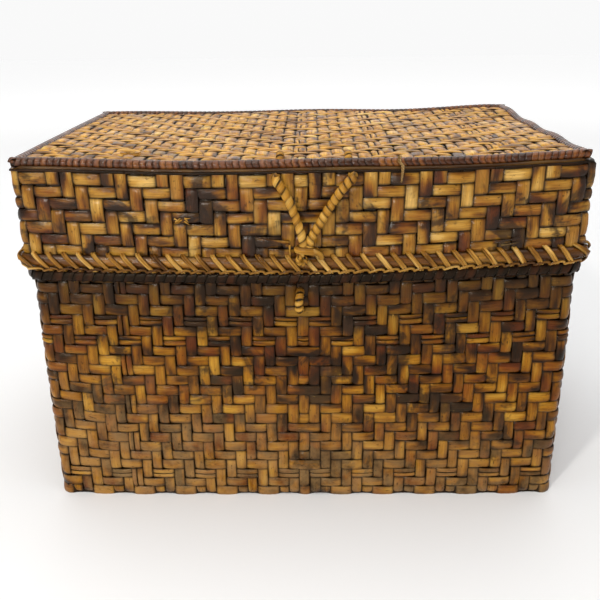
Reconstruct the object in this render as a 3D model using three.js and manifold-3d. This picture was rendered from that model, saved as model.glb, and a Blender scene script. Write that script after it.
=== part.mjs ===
// Wicker storage trunk: a woven cane body with a woven lid, cane rods and lashed hoops round the
// edges, a cane hasp that swings on the lid front, a staple below it and two cane hinges behind.
// Millimetres, +Z up, +X to the right along the length, front towards -Y, base at Z = 0.
import * as THREE from 'three';
import { mergeVertices } from 'three/addons/utils/BufferGeometryUtils.js';
import Module from 'manifold-3d';

const wasm = await Module();
wasm.setup();

// ---- driving dimensions ----
const trunkLength = 560; // over the rods round the lid top
const trunkDepth = 356;
const trunkHeight = 388;
const gap = 0.35; // left between neighbouring pieces
const weaveThickness = 4;
const rimRodDiameter = 10;
const lidWallProud = 3; // lid wall's outer face beyond the rods
const bodyWallInset = 0.5; // body wall's outer face inside the rods
const rimHeight = 276; // top of the body's rim hoop
const bodyHoopHeight = 11.5;
const bodyHoopDepth = 4.9;
const lidHoopHeight = 14;
const lidHoopDepth = 5.3;
const lashingDrop = 2.6; // how far the lashing hangs under the lid hoop
const lashingThickness = 1.2;
const stitchPitch = 15;
const stitchWidth = 3.6;
const stitchSlant = 12; // sideways run of one stitch across the hoop
const bandHeight = 6.5;
const bandThickness = 1.5;
const innerHoopDepth = 5;
const lidCornerRadius = 14;
const bodyCornerRadius = 13;
const baseEdgeRadius = 8;
const cordRadius = 4.4;
const thinCordRadius = 2.2;

// ---- sizes worked out from them ----
const halfLength = trunkLength / 2;
const halfDepth = trunkDepth / 2;
const frontLine = -halfDepth; // outer line of the front rod
const backLine = halfDepth; // outer line of the back rod
const rimRodRadius = rimRodDiameter / 2;
const rimRodZ = trunkHeight - rimRodRadius;
const lidWallTop = trunkHeight - rimRodDiameter - gap;
const lidHoopBottom = rimHeight + gap + lashingDrop;
const lidHoopTop = lidHoopBottom + lidHoopHeight;
const bodyHoopBottom = rimHeight - bodyHoopHeight;
const lidHoopFace = lidWallProud + gap;
const bodyHoopFace = -bodyWallInset + gap;
const lashingOuter = lidHoopFace + lidHoopDepth + gap + lashingThickness;

// ---- colours ----
const materials = {
  weave: material('#8a5c22', 0.34),
  lidWeave: material('#9a6c2c', 0.32),
  panel: material('#a8834c', 0.36),
  redCane: material('#7b4a2b', 0.3),
  darkCane: material('#3f2614', 0.3),
  hoopCane: material('#8f6430', 0.34),
  paleCane: material('#b58b50', 0.4),
  goldCane: material('#c0923f', 0.38),
  twine: material('#8d6f45', 0.8),
};

function material(colour, roughness) {
  return new THREE.MeshStandardMaterial({ color: colour, roughness, metalness: 0 });
}

// ---- ring geometry round a rounded rectangle ----
const cornerSteps = 3; // flats round a corner of the walls and inner hoops
const outerHoopSteps = 4; // and round a corner of the outer hoops

// Corner stations of a rounded rectangle: where each corner arc's centre is and which way it faces.
function ringStations(cornerRadius, stepsPerCorner) {
  const stations = [];
  const cornerSigns = [[1, 1], [-1, 1], [-1, -1], [1, -1]];
  cornerSigns.forEach(([signX, signY], corner) => {
    for (let step = 0; step <= stepsPerCorner; step += 1) {
      const angle = (corner + step / stepsPerCorner) * Math.PI / 2;
      stations.push({
        centreX: signX * (halfLength - cornerRadius),
        centreY: signY * (halfDepth - cornerRadius),
        normalX: Math.cos(angle),
        normalY: Math.sin(angle),
        reach: cornerRadius,
      });
    }
  });
  return stations;
}

// The point at one station for a profile point [outward offset from the rods' outer line, height].
function ringPoint(station, [outward, height]) {
  const reach = Math.max(station.reach + outward, 0);
  return [
    station.centreX + station.normalX * reach,
    station.centreY + station.normalY * reach,
    height,
  ];
}

// Every profile point at every station, one station after another.
function ringPositions(stations, profile) {
  return stations.flatMap((station) => profile.flatMap((point) => ringPoint(station, point)));
}

// A closed profile carried all the way round the trunk.
function ringGeometry(profile, cornerRadius, stepsPerCorner = cornerSteps) {
  const stations = ringStations(cornerRadius, stepsPerCorner);
  const positions = ringPositions(stations, profile);
  const indices = [];
  const count = profile.length;
  stations.forEach((_, i) => {
    const next = (i + 1) % stations.length;
    for (let j = 0; j < count; j += 1) {
      const k = (j + 1) % count;
      indices.push(i * count + j, next * count + j, next * count + k);
      indices.push(i * count + j, next * count + k, i * count + k);
    }
  });
  return facingOut(indexedGeometry(positions, indices));
}

// An open-topped box: the profile runs from the underside's edge, up the outside, over and down
// the inside, and both of its ends are filled in with flat floors.
function trayGeometry(profile, cornerRadius) {
  const stations = ringStations(cornerRadius, cornerSteps);
  const positions = ringPositions(stations, profile);
  const indices = [];
  const count = profile.length;
  stations.forEach((_, i) => {
    const next = (i + 1) % stations.length;
    for (let j = 0; j < count - 1; j += 1) {
      indices.push(i * count + j, next * count + j, next * count + j + 1);
      indices.push(i * count + j, next * count + j + 1, i * count + j + 1);
    }
  });
  const outline = stations.map((station) => new THREE.Vector2(...ringPoint(station, profile[0])));
  THREE.ShapeUtils.triangulateShape(outline, []).forEach(([a, b, c]) => {
    indices.push(a * count, c * count, b * count);
    indices.push(a * count + count - 1, b * count + count - 1, c * count + count - 1);
  });
  return facingOut(indexedGeometry(positions, indices));
}

function indexedGeometry(positions, indices) {
  const geometry = new THREE.BufferGeometry();
  geometry.setAttribute('position', new THREE.Float32BufferAttribute(positions, 3));
  geometry.setIndex(indices);
  return geometry;
}

// Flips every triangle when the closed surface came out facing inwards.
function facingOut(geometry) {
  const index = geometry.getIndex();
  const position = geometry.getAttribute('position');
  const [a, b, c] = [new THREE.Vector3(), new THREE.Vector3(), new THREE.Vector3()];
  let volume = 0;
  for (let i = 0; i < index.count; i += 3) {
    a.fromBufferAttribute(position, index.getX(i));
    b.fromBufferAttribute(position, index.getX(i + 1));
    c.fromBufferAttribute(position, index.getX(i + 2));
    volume += a.dot(b.cross(c));
  }
  if (volume < 0) {
    for (let i = 0; i < index.count; i += 3) {
      const second = index.getX(i + 1);
      index.setX(i + 1, index.getX(i + 2));
      index.setX(i + 2, second);
    }
  }
  return geometry;
}

// ---- solids joined and cut ----

function toManifold(geometry) {
  const bare = geometry.clone();
  bare.deleteAttribute('normal');
  bare.deleteAttribute('uv');
  const merged = mergeVertices(bare, 1e-4);
  return new wasm.Manifold(new wasm.Mesh({
    numProp: 3,
    vertProperties: new Float32Array(merged.getAttribute('position').array),
    triVerts: new Uint32Array(merged.getIndex().array),
  }));
}

function fromManifold(solid) {
  const mesh = solid.getMesh();
  return indexedGeometry(Array.from(mesh.vertProperties), Array.from(mesh.triVerts));
}

function cut(geometry, cutters) {
  const whole = toManifold(geometry);
  return fromManifold(cutters.reduce((rest, cutter) => rest.subtract(toManifold(cutter)), whole));
}

function join(geometries) {
  const [first, ...others] = geometries.map(toManifold);
  return fromManifold(others.reduce((whole, other) => whole.add(other), first));
}

// ---- cords, rods and holes ----

function roundShape(radius, sides) {
  const shape = new THREE.Shape();
  for (let i = 0; i < sides; i += 1) {
    const angle = (i / sides) * Math.PI * 2;
    const move = i === 0 ? 'moveTo' : 'lineTo';
    shape[move](radius * Math.cos(angle), radius * Math.sin(angle));
  }
  shape.closePath();
  return shape;
}

// A round cord along a smooth line through the points.
function cordGeometry(points, radius, steps = 14, sides = 8) {
  const places = points.map((point) => new THREE.Vector3(...point));
  const line = new THREE.CatmullRomCurve3(places, false, 'centripetal');
  return new THREE.ExtrudeGeometry(roundShape(radius, sides), { steps, extrudePath: line });
}

// A hole cutter lying along Y.
function holeCutter(x, y, z, radius, length) {
  return new THREE.CylinderGeometry(radius, radius, length, 8).translate(x, y, z);
}

// A hole cutter standing along Z.
function uprightCutter(x, y, z, radius, length) {
  return new THREE.CylinderGeometry(radius, radius, length, 8)
    .rotateX(Math.PI / 2)
    .translate(x, y, z);
}

// Y of a place this far out from the front rod's outer line.
function inFront(outward) {
  return frontLine - outward;
}

// Y of a place this far out from the back rod's outer line.
function behind(outward) {
  return backLine + outward;
}

const cutReach = 24; // long enough to pass through any wall
const holeSlack = 0.9; // between a cord and the hole it passes through

// ---- front staple ----
const stapleX = -3;
const stapleBelowHoop = 5; // clear between the hoop and the cord
const stapleHeight = 20; // between the cord's two holes
const stapleTop = bodyHoopBottom - gap - cordRadius - stapleBelowHoop;
const stapleBottom = stapleTop - stapleHeight;
const stapleStandOff = 10.5;
const stapleBend = 5; // height taken up by each of its bends

function stapleGeometry() {
  const inside = -bodyWallInset - weaveThickness;
  const path = [
    [stapleX, inFront(inside), stapleTop],
    [stapleX, inFront(gap), stapleTop],
    [stapleX, inFront(stapleStandOff * 0.7), stapleTop - 0.8],
    [stapleX, inFront(stapleStandOff), stapleTop - stapleBend],
    [stapleX, inFront(stapleStandOff), stapleBottom + stapleBend],
    [stapleX, inFront(stapleStandOff * 0.7), stapleBottom + 0.8],
    [stapleX, inFront(gap), stapleBottom],
    [stapleX, inFront(inside), stapleBottom],
  ];
  return cordGeometry(path, cordRadius, 16, 10);
}

function stapleHoles() {
  return [stapleTop, stapleBottom].map(
    (z) => holeCutter(stapleX, inFront(0), z, cordRadius + holeSlack, cutReach),
  );
}

// ---- back hinges: a cane bar on the lid turning in a cane eye on the body ----
const hingeX = 170;
const hingeOut = 18; // turning line behind the rods' outer line
const hingeZ = 270;
const hingeBarHalfWidth = 9;
const hingeEyeRadius = 5.3;
const hingeHoleClearance = 6; // between the lid's hoop and the bar's holes above it
const hingeEyeDrop = 7; // from the body's hoop down to the eye's upper hole
const hingeEyeSpread = 13; // between the eye's two holes
const hingeTopZ = lidHoopTop + hingeHoleClearance;
const hingeEyeHighZ = bodyHoopBottom - hingeEyeDrop;
const hingeEyeLowZ = hingeEyeHighZ - hingeEyeSpread;
const hingeCentres = [-hingeX, hingeX];

// The bar: out of the lid wall, down past both hoops, and across through the eye.
function hingeBarGeometry(centreX) {
  const inside = lidWallProud - weaveThickness;
  const bend = hingeOut - 4;
  const leg = (side) => [
    [centreX + side * hingeBarHalfWidth, behind(inside), hingeTopZ],
    [centreX + side * hingeBarHalfWidth, behind(lidWallProud + 1), hingeTopZ],
    [centreX + side * hingeBarHalfWidth, behind(lidWallProud + 6), hingeTopZ - 0.5],
    [centreX + side * hingeBarHalfWidth, behind(bend), hingeTopZ - 7],
    [centreX + side * hingeBarHalfWidth, behind(bend + 0.5), hingeTopZ - 20],
    [centreX + side * hingeBarHalfWidth, behind(hingeOut - 1.5), hingeZ + 4.5],
    [centreX + side * (hingeBarHalfWidth - 2), behind(hingeOut - 0.2), hingeZ + 0.6],
    [centreX + side * (hingeBarHalfWidth - 4.5), behind(hingeOut), hingeZ],
    [centreX + side * (hingeBarHalfWidth - 7), behind(hingeOut), hingeZ],
  ];
  const path = [...leg(-1), ...leg(1).reverse()];
  return cordGeometry(path, thinCordRadius, 30, 8);
}

// The eye: out of the body wall, up and over the bar, and back into the wall lower down.
function hingeEyeGeometry(centreX) {
  const inside = -bodyWallInset - weaveThickness;
  const path = [
    [centreX, behind(inside), hingeEyeHighZ],
    [centreX, behind(gap), hingeEyeHighZ],
    [centreX, behind(hingeOut - 10), hingeEyeHighZ + 1.5],
    [centreX, behind(hingeOut - hingeEyeRadius + 0.6), hingeZ - 2],
    [centreX, behind(hingeOut - hingeEyeRadius * 0.7), hingeZ + hingeEyeRadius * 0.75],
    [centreX, behind(hingeOut), hingeZ + hingeEyeRadius],
    [centreX, behind(hingeOut + hingeEyeRadius * 0.7), hingeZ + hingeEyeRadius * 0.75],
    [centreX, behind(hingeOut + hingeEyeRadius), hingeZ],
    [centreX, behind(hingeOut + hingeEyeRadius - 1), hingeZ - 9],
    [centreX, behind(hingeOut - 9), hingeEyeLowZ + 1],
    [centreX, behind(gap), hingeEyeLowZ],
    [centreX, behind(inside), hingeEyeLowZ],
  ];
  return cordGeometry(path, thinCordRadius, 32, 8);
}

function hingeBarHoles() {
  return hingeCentres.flatMap((centreX) => [-1, 1].map((side) => holeCutter(
    centreX + side * hingeBarHalfWidth, behind(0), hingeTopZ, thinCordRadius + holeSlack, cutReach,
  )));
}

function hingeEyeHoles() {
  return hingeCentres.flatMap((centreX) => [hingeEyeHighZ, hingeEyeLowZ].map((z) => holeCutter(
    centreX, behind(0), z, thinCordRadius + holeSlack, cutReach,
  )));
}

// ---- hasp: two wrapped legs that meet in a knot, hung from two small loops under the rim ----
const haspOut = 12.5; // turning line in front of the rods' outer line
const haspZ = 373;
const haspLeftX = -24;
const haspRightX = 49;
const haspKnotX = 5;
const haspKnotZ = 304;
const haspKnotOut = 17;
const haspKnotHalfWidth = 12;
const haspFootOffset = 5; // a leg's foot to the knot's middle, sideways
const leftLegBow = 3; // how far each leg bows to the right of a straight line
const rightLegBow = -2;
const haspEyeTube = 2;
const haspEyeRadius = 4.6;
const haspTailRadius = 3.6;
const anchorHalfWidth = 7;
const anchorRadius = 1.9;
const anchorBend = 1.5; // sideways size of the anchor's rounded bends

// A loop of thin cane that comes out of the lid wall and goes back in beside itself.
function haspAnchorGeometry(centreX) {
  const inside = lidWallProud - weaveThickness;
  const path = [
    [centreX - anchorHalfWidth, inFront(inside), haspZ],
    [centreX - anchorHalfWidth, inFront(haspOut - 5), haspZ],
    [centreX - anchorHalfWidth + anchorBend, inFront(haspOut - 0.6), haspZ],
    [centreX - anchorHalfWidth / 2, inFront(haspOut), haspZ],
    [centreX + anchorHalfWidth / 2, inFront(haspOut), haspZ],
    [centreX + anchorHalfWidth - anchorBend, inFront(haspOut - 0.6), haspZ],
    [centreX + anchorHalfWidth, inFront(haspOut - 5), haspZ],
    [centreX + anchorHalfWidth, inFront(inside), haspZ],
  ];
  return cordGeometry(path, anchorRadius, 20, 8);
}

function haspAnchorHoles() {
  return [haspLeftX, haspRightX].flatMap((centreX) => [-1, 1].map((side) => holeCutter(
    centreX + side * anchorHalfWidth, inFront(0), haspZ, anchorRadius + holeSlack, cutReach,
  )));
}

// One leg: an eye round its anchor loop, then a cord that leans out over the lashed hoop.
function haspLegGeometry(topX, footX, bow) {
  const eye = new THREE.TorusGeometry(haspEyeRadius, haspEyeTube, 8, 14)
    .rotateY(Math.PI / 2)
    .translate(topX, inFront(haspOut), haspZ);
  const along = (share, sideways) => [
    topX + (footX - topX) * share + sideways,
    inFront(haspOut + (haspKnotOut - haspOut) * share),
    haspZ + (haspKnotZ - haspZ) * share,
  ];
  const [, knotY] = along(1, 0);
  const cord = cordGeometry([
    along(0.065, 0),
    along(0.4, bow),
    along(0.75, bow * 0.8),
    [footX, knotY, haspKnotZ + cordRadius + 7],
    [footX, knotY, haspKnotZ + cordRadius + 2 * gap],
  ], cordRadius, 8, 10);
  return join([eye, cord]);
}

// The knot that gathers both legs: a short round-ended bar lying across them.
function haspKnotGeometry() {
  const knot = new THREE.CapsuleGeometry(cordRadius, 2 * (haspKnotHalfWidth - cordRadius), 4, 10);
  return knot.rotateZ(Math.PI / 2).translate(haspKnotX, inFront(haspKnotOut), haspKnotZ);
}

// The small open eye that hangs below the knot.
function haspTailGeometry() {
  const ringZ = haspKnotZ - cordRadius - gap - haspTailRadius - haspEyeTube;
  return new THREE.TorusGeometry(haspTailRadius, haspEyeTube, 8, 14)
    .rotateX(Math.PI / 2)
    .translate(haspKnotX - haspFootOffset, inFront(haspKnotOut), ringZ);
}

// ---- loops on the lid top where the hasp's cane is tied down ----
const tieLoopInset = 22; // from the front rod's outer line
const tieLoopShift = 6; // the left tie lies this far to the right of its hasp leg
const tieLoopY = frontLine + tieLoopInset;
const [leftTieX, rightTieX] = [haspLeftX + tieLoopShift, haspRightX];
const tieLoopHalf = 5;
const tieLoopRise = 4;

// A short loop standing on the panel with both feet through it.
function topTieGeometry(centreX) {
  const panelUnder = panelTop - weaveThickness;
  const path = [
    [centreX - tieLoopHalf, tieLoopY, panelUnder],
    [centreX - tieLoopHalf, tieLoopY, panelTop + tieLoopRise * 0.5],
    [centreX, tieLoopY, panelTop + tieLoopRise],
    [centreX + tieLoopHalf, tieLoopY, panelTop + tieLoopRise * 0.5],
    [centreX + tieLoopHalf, tieLoopY, panelUnder],
  ];
  return cordGeometry(path, anchorRadius, 16, 8);
}

function topTieHoles() {
  return [leftTieX, rightTieX].flatMap((centreX) => [-1, 1].map((side) => uprightCutter(
    centreX + side * tieLoopHalf, tieLoopY, panelTop, anchorRadius + holeSlack, cutReach,
  )));
}

// ---- lid ----
const panelDrop = 3; // panel's top face below the rods' tops
const cornerHoopRadius = 3.6;
const panelTop = trunkHeight - panelDrop;

// The woven top, lying inside the rods.
function lidPanelGeometry() {
  const edge = -rimRodDiameter - gap;
  const stations = ringStations(lidCornerRadius, cornerSteps);
  const shape = new THREE.Shape(stations.map((station) => {
    const [x, y] = ringPoint(station, [edge, 0]);
    return new THREE.Vector2(x, y);
  }));
  const slab = new THREE.ExtrudeGeometry(shape, { depth: weaveThickness, bevelEnabled: false });
  return cut(slab.translate(0, 0, panelTop - weaveThickness), topTieHoles());
}

function lidWallGeometry() {
  const inner = lidWallProud - weaveThickness;
  const ring = ringGeometry([
    [lidWallProud, lidHoopBottom],
    [lidWallProud, lidWallTop],
    [inner, lidWallTop],
    [inner, lidHoopBottom],
  ], lidCornerRadius);
  return cut(ring, [...haspAnchorHoles(), ...hingeBarHoles()]);
}

function underRimBandGeometry() {
  const face = lidWallProud + gap;
  const ring = ringGeometry([
    [face, lidWallTop - bandHeight],
    [face + bandThickness, lidWallTop - bandHeight],
    [face + bandThickness, lidWallTop],
    [face, lidWallTop],
  ], lidCornerRadius);
  return cut(ring, haspAnchorHoles());
}

// A half-round hoop: flat against the weave, rounded on its other side.
function halfRoundProfile(face, depth, bottom, height, outwards) {
  const way = outwards ? 1 : -1;
  return [
    [face, bottom],
    [face + way * depth * 0.7, bottom + height * 0.06],
    [face + way * depth, bottom + height * 0.28],
    [face + way * depth, bottom + height * 0.72],
    [face + way * depth * 0.7, bottom + height * 0.94],
    [face, bottom + height],
  ];
}

function lidOuterHoopGeometry() {
  return ringGeometry(
    halfRoundProfile(lidHoopFace, lidHoopDepth, lidHoopBottom, lidHoopHeight, true),
    lidCornerRadius,
    outerHoopSteps,
  );
}

function lidInnerHoopGeometry() {
  const face = lidWallProud - weaveThickness - gap;
  return ringGeometry(
    halfRoundProfile(face, innerHoopDepth, lidHoopBottom, lidHoopHeight, false),
    lidCornerRadius,
  );
}

// A round hoop in the corner between the lid's top and its wall, under the panel.
function lidCornerHoopGeometry() {
  const radius = cornerHoopRadius;
  const centreOut = lidWallProud - weaveThickness - gap - radius;
  const centreZ = Math.min(panelTop - weaveThickness, lidWallTop) - gap - radius;
  const sides = 8;
  const profile = Array.from({ length: sides }, (_, i) => {
    const angle = ((i + 0.5) / sides) * Math.PI * 2;
    return [centreOut + radius * Math.cos(angle), centreZ + radius * Math.sin(angle)];
  });
  return ringGeometry(profile, lidCornerRadius);
}

// A rod along one top edge, mitred at both ends so that four of them frame the top.
function rimRodGeometry(halfSpan) {
  const sides = 12;
  const positions = [];
  const indices = [];
  for (let i = 0; i < sides; i += 1) {
    const angle = (i / sides) * Math.PI * 2;
    const inward = rimRodRadius - rimRodRadius * Math.cos(angle);
    const height = rimRodZ + rimRodRadius * Math.sin(angle);
    const end = halfSpan - inward - gap;
    positions.push(-end, inward, height, end, inward, height);
  }
  for (let i = 0; i < sides; i += 1) {
    const next = (i + 1) % sides;
    indices.push(2 * i, 2 * i + 1, 2 * next + 1, 2 * i, 2 * next + 1, 2 * next);
  }
  for (let i = 1; i < sides - 1; i += 1) {
    indices.push(0, 2 * i, 2 * i + 2, 1, 2 * i + 3, 2 * i + 1);
  }
  return facingOut(indexedGeometry(positions, indices));
}

// ---- lashing: slanting stitches over the lid's outer hoop, hooked together along its foot ----

// One stitch as a flat strand laid over the hoop's outside, running along -X as it goes down.
function stitchGeometry(centre) {
  const face = lidHoopFace + gap;
  const lift = gap;
  const strandLine = [
    [face, lidHoopTop + lift],
    [face + lidHoopDepth * 0.72, lidHoopTop - lidHoopHeight * 0.04 + lift],
    [face + lidHoopDepth, lidHoopTop - lidHoopHeight * 0.26],
    [face + lidHoopDepth, lidHoopBottom + lidHoopHeight * 0.26],
    [face + lidHoopDepth * 0.78, lidHoopBottom - lift],
  ];
  const drop = strandLine[0][1] - strandLine[4][1];
  const positions = [];
  strandLine.forEach(([outward, height]) => {
    const shift = -stitchSlant * ((lidHoopTop - height) / drop - 0.5);
    const left = centre + shift - stitchWidth / 2;
    const right = centre + shift + stitchWidth / 2;
    const out = outward + lashingThickness;
    const rise = height > lidHoopTop - 1 ? lashingThickness * 0.8 : 0;
    positions.push(left, outward, height, right, outward, height);
    positions.push(right, out, height + rise, left, out, height + rise);
  });
  const indices = [];
  for (let i = 0; i < strandLine.length - 1; i += 1) {
    for (let j = 0; j < 4; j += 1) {
      const a = i * 4 + j;
      const b = i * 4 + ((j + 1) % 4);
      indices.push(a, b, b + 4, a, b + 4, a + 4);
    }
  }
  const last = (strandLine.length - 1) * 4;
  indices.push(0, 2, 1, 0, 3, 2, last, last + 1, last + 2, last, last + 2, last + 3);
  return facingOut(indexedGeometry(positions, indices));
}

// All stitches of one side and the chained strand under them, laid out along X with outwards = +Y.
function lashingGeometry(halfSpan, skips = []) {
  const count = Math.floor((2 * halfSpan - stitchSlant) / stitchPitch);
  const stitches = [];
  for (let i = 0; i < count; i += 1) {
    const centre = (i - (count - 1) / 2) * stitchPitch;
    const blocked = skips.some((skip) => Math.abs(centre - skip) < stitchSlant);
    if (!blocked) {
      stitches.push(stitchGeometry(centre));
    }
  }
  const strandTop = lidHoopBottom - gap;
  const strandBottom = lidHoopBottom - lashingDrop;
  const strandInner = lidHoopFace + lidHoopDepth * 0.4;
  const strandDepth = lashingOuter - strandInner;
  const strand = new THREE.BoxGeometry(2 * halfSpan, strandDepth, strandTop - strandBottom)
    .translate(0, (lashingOuter + strandInner) / 2, (strandTop + strandBottom) / 2);
  return join([strand, ...stitches]);
}

// Turns a side laid out along X, outwards = +Y from the rods' outer line, onto its place.
function placeSide(geometry, side) {
  const turns = { back: 0, left: 1, front: 2, right: 3 };
  const reach = side === 'front' || side === 'back' ? halfDepth : halfLength;
  return geometry.translate(0, reach, 0).rotateZ(turns[side] * Math.PI / 2);
}

// ---- body ----

// Walls and bottom woven in one, turning under at the base with a soft edge.
function bodyWeaveGeometry() {
  const outer = -bodyWallInset;
  const inner = outer - weaveThickness;
  const turn = baseEdgeRadius;
  const turnIn = Math.max(turn - weaveThickness, 1);
  const corner = Math.SQRT1_2;
  const profile = [
    [outer - turn, 0],
    [outer - turn * (1 - corner), turn * (1 - corner)],
    [outer, turn],
    [outer, rimHeight],
    [inner, rimHeight],
    [inner, weaveThickness + turnIn],
    [inner - turnIn, weaveThickness],
  ];
  return cut(trayGeometry(profile, bodyCornerRadius), [...stapleHoles(), ...hingeEyeHoles()]);
}

function bodyOuterHoopGeometry() {
  return ringGeometry(
    halfRoundProfile(bodyHoopFace, bodyHoopDepth, bodyHoopBottom, bodyHoopHeight, true),
    bodyCornerRadius,
    outerHoopSteps,
  );
}

function bodyInnerHoopGeometry() {
  const face = -bodyWallInset - weaveThickness - gap;
  return ringGeometry(
    halfRoundProfile(face, innerHoopDepth, bodyHoopBottom, bodyHoopHeight, false),
    bodyCornerRadius,
  );
}

// ---- twine tied over the front rod ----
const twineX = 97;
const twineRadius = 1;
const twineHang = 5; // below the band under the rim

function rimTwineGeometry() {
  const clear = twineRadius + gap;
  const overBand = inFront(lidWallProud + bandThickness + gap + clear);
  const path = [
    [twineX + 1, frontLine + rimRodRadius + 2, trunkHeight + clear - 0.4],
    [twineX + 1, frontLine + rimRodRadius, trunkHeight + clear],
    [twineX + 0.5, inFront(-0.4 * rimRodRadius + clear), trunkHeight + clear - 1.4],
    [twineX, inFront(clear + 0.6), rimRodZ],
    [twineX - 0.5, overBand, lidWallTop - 1],
    [twineX - 1, overBand, lidWallTop - bandHeight - twineHang],
  ];
  return cordGeometry(path, twineRadius, 14, 6);
}

// ---- assembly ----
const trunk = new THREE.Group();
trunk.name = 'wicker_storage_trunk';

function add(name, geometry, look) {
  const mesh = new THREE.Mesh(geometry, look);
  mesh.name = name;
  trunk.add(mesh);
}

add('body_weave', bodyWeaveGeometry(), materials.weave);
add('body_outer_hoop', bodyOuterHoopGeometry(), materials.darkCane);
add('body_inner_hoop', bodyInnerHoopGeometry(), materials.hoopCane);
add('body_staple', stapleGeometry(), materials.goldCane);

add('lid_panel', lidPanelGeometry(), materials.panel);
add('lid_wall', lidWallGeometry(), materials.lidWeave);
add('lid_under_rim_band', underRimBandGeometry(), materials.darkCane);
add('lid_corner_hoop', lidCornerHoopGeometry(), materials.hoopCane);
add('lid_outer_hoop', lidOuterHoopGeometry(), materials.hoopCane);
add('lid_inner_hoop', lidInnerHoopGeometry(), materials.hoopCane);

['front', 'back', 'left', 'right'].forEach((side) => {
  const long = side === 'front' || side === 'back';
  const rodSpan = long ? halfLength : halfDepth;
  // the rod is laid out with inwards = +Y, so it is turned round before it is placed
  const rod = rimRodGeometry(rodSpan).rotateZ(Math.PI);
  add(`lid_rim_rod_${side}`, placeSide(rod, side), materials.redCane);
  const hingeBars = side === 'back' ? hingeCentres.flatMap(
    (centre) => [centre - hingeBarHalfWidth, centre + hingeBarHalfWidth],
  ) : [];
  const lashing = lashingGeometry(rodSpan - lidCornerRadius, hingeBars);
  add(`lid_lashing_${side}`, placeSide(lashing, side), materials.paleCane);
});

[['left', -1], ['right', 1]].forEach(([name, way]) => {
  add(`hinge_eye_${name}`, hingeEyeGeometry(way * hingeX), materials.goldCane);
  add(`hinge_bar_${name}`, hingeBarGeometry(way * hingeX), materials.goldCane);
});

add('hasp_anchor_left', haspAnchorGeometry(haspLeftX), materials.goldCane);
add('hasp_anchor_right', haspAnchorGeometry(haspRightX), materials.goldCane);
add('top_tie_left', topTieGeometry(leftTieX), materials.goldCane);
add('top_tie_right', topTieGeometry(rightTieX), materials.goldCane);
const leftFoot = haspKnotX - haspFootOffset;
const rightFoot = haspKnotX + haspFootOffset;
add('hasp_leg_left', haspLegGeometry(haspLeftX, leftFoot, leftLegBow), materials.goldCane);
add('hasp_leg_right', haspLegGeometry(haspRightX, rightFoot, rightLegBow), materials.goldCane);
add('hasp_knot', haspKnotGeometry(), materials.goldCane);
add('hasp_tail', haspTailGeometry(), materials.goldCane);
add('rim_twine', rimTwineGeometry(), materials.twine);

export default trunk;
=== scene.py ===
import math

import bpy
import numpy as np
from mathutils import Matrix, Vector


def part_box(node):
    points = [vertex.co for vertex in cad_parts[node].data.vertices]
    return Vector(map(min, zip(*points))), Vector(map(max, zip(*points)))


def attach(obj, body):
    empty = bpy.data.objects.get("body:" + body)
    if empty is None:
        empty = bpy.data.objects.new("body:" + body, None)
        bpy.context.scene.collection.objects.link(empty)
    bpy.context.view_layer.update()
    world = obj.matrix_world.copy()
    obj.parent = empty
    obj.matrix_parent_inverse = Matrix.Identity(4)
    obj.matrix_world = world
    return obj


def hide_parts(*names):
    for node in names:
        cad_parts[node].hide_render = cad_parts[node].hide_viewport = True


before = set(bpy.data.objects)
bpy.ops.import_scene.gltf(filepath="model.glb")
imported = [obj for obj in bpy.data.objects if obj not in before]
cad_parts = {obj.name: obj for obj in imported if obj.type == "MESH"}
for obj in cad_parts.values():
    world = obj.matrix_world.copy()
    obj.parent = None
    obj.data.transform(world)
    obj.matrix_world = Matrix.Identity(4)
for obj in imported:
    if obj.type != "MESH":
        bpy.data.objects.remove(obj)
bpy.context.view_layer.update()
rng = np.random.default_rng(11)

MM = 0.001

# ---- sizes read from the frame ----


def node_box(node):
    """The lowest and the highest corner of a CAD node."""
    low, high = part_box(node)
    return np.array(low), np.array(high)


def box_centre(node):
    low, high = node_box(node)
    return (low + high) / 2


_, body_high = node_box("body_weave")
wall_low, wall_high = node_box("lid_wall")
panel_low, panel_high = node_box("lid_panel")
rod_low, rod_high = node_box("lid_rim_rod_front")
trunk_top = rod_high[2]
half_length = node_box("lid_rim_rod_right")[1][0]
half_depth = -rod_low[1]
sheet = panel_high[2] - panel_low[2]  # thickness of every woven sheet
rod_radius = (rod_high[2] - rod_low[2]) / 2
rim_height = body_high[2]

# ---- what the cane is like ----
body_columns = 152  # strips standing up round the body, a multiple of 8
lid_columns = 136
row_pitch = 11.9 * MM
lid_row_pitch = 12.0 * MM
strip_fill = 1.05  # strip width over pitch
split_share = 0.04  # how many strips have split along their length
strip_thickness = 1.5 * MM
weave_rise = 1.25 * MM  # how far a strip lies above or below the middle of the sheet
panel_rise = 1.45 * MM
body_corner = 13 * MM
lid_corner = 14 * MM
base_turn = 8 * MM

# ---- the trunk's settled shape ----
front_bow = 4 * MM
front_sag = 4.5 * MM
right_lift = 4 * MM
raised_corner = 5 * MM
soft_corner = 2.5 * MM
corner_drawn = 0.65  # how square the lid's rounded corners have become, 0 to 1
lid_flare = 2 * MM
rim_shift = 3 * MM
skewed_corner = 7 * MM
base_spread = 3 * MM
edge_ripple = 1.1 * MM  # waves along the right edge, over the lid, up the front and up the ends
top_ripple = 0.9 * MM
front_ripple = 1.2 * MM
end_ripple = 1.0 * MM


def ease(value):
    """0 below 0, 1 above 1, smooth between."""
    t = np.clip(value, 0, 1)
    return t * t * (3 - 2 * t)


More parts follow.
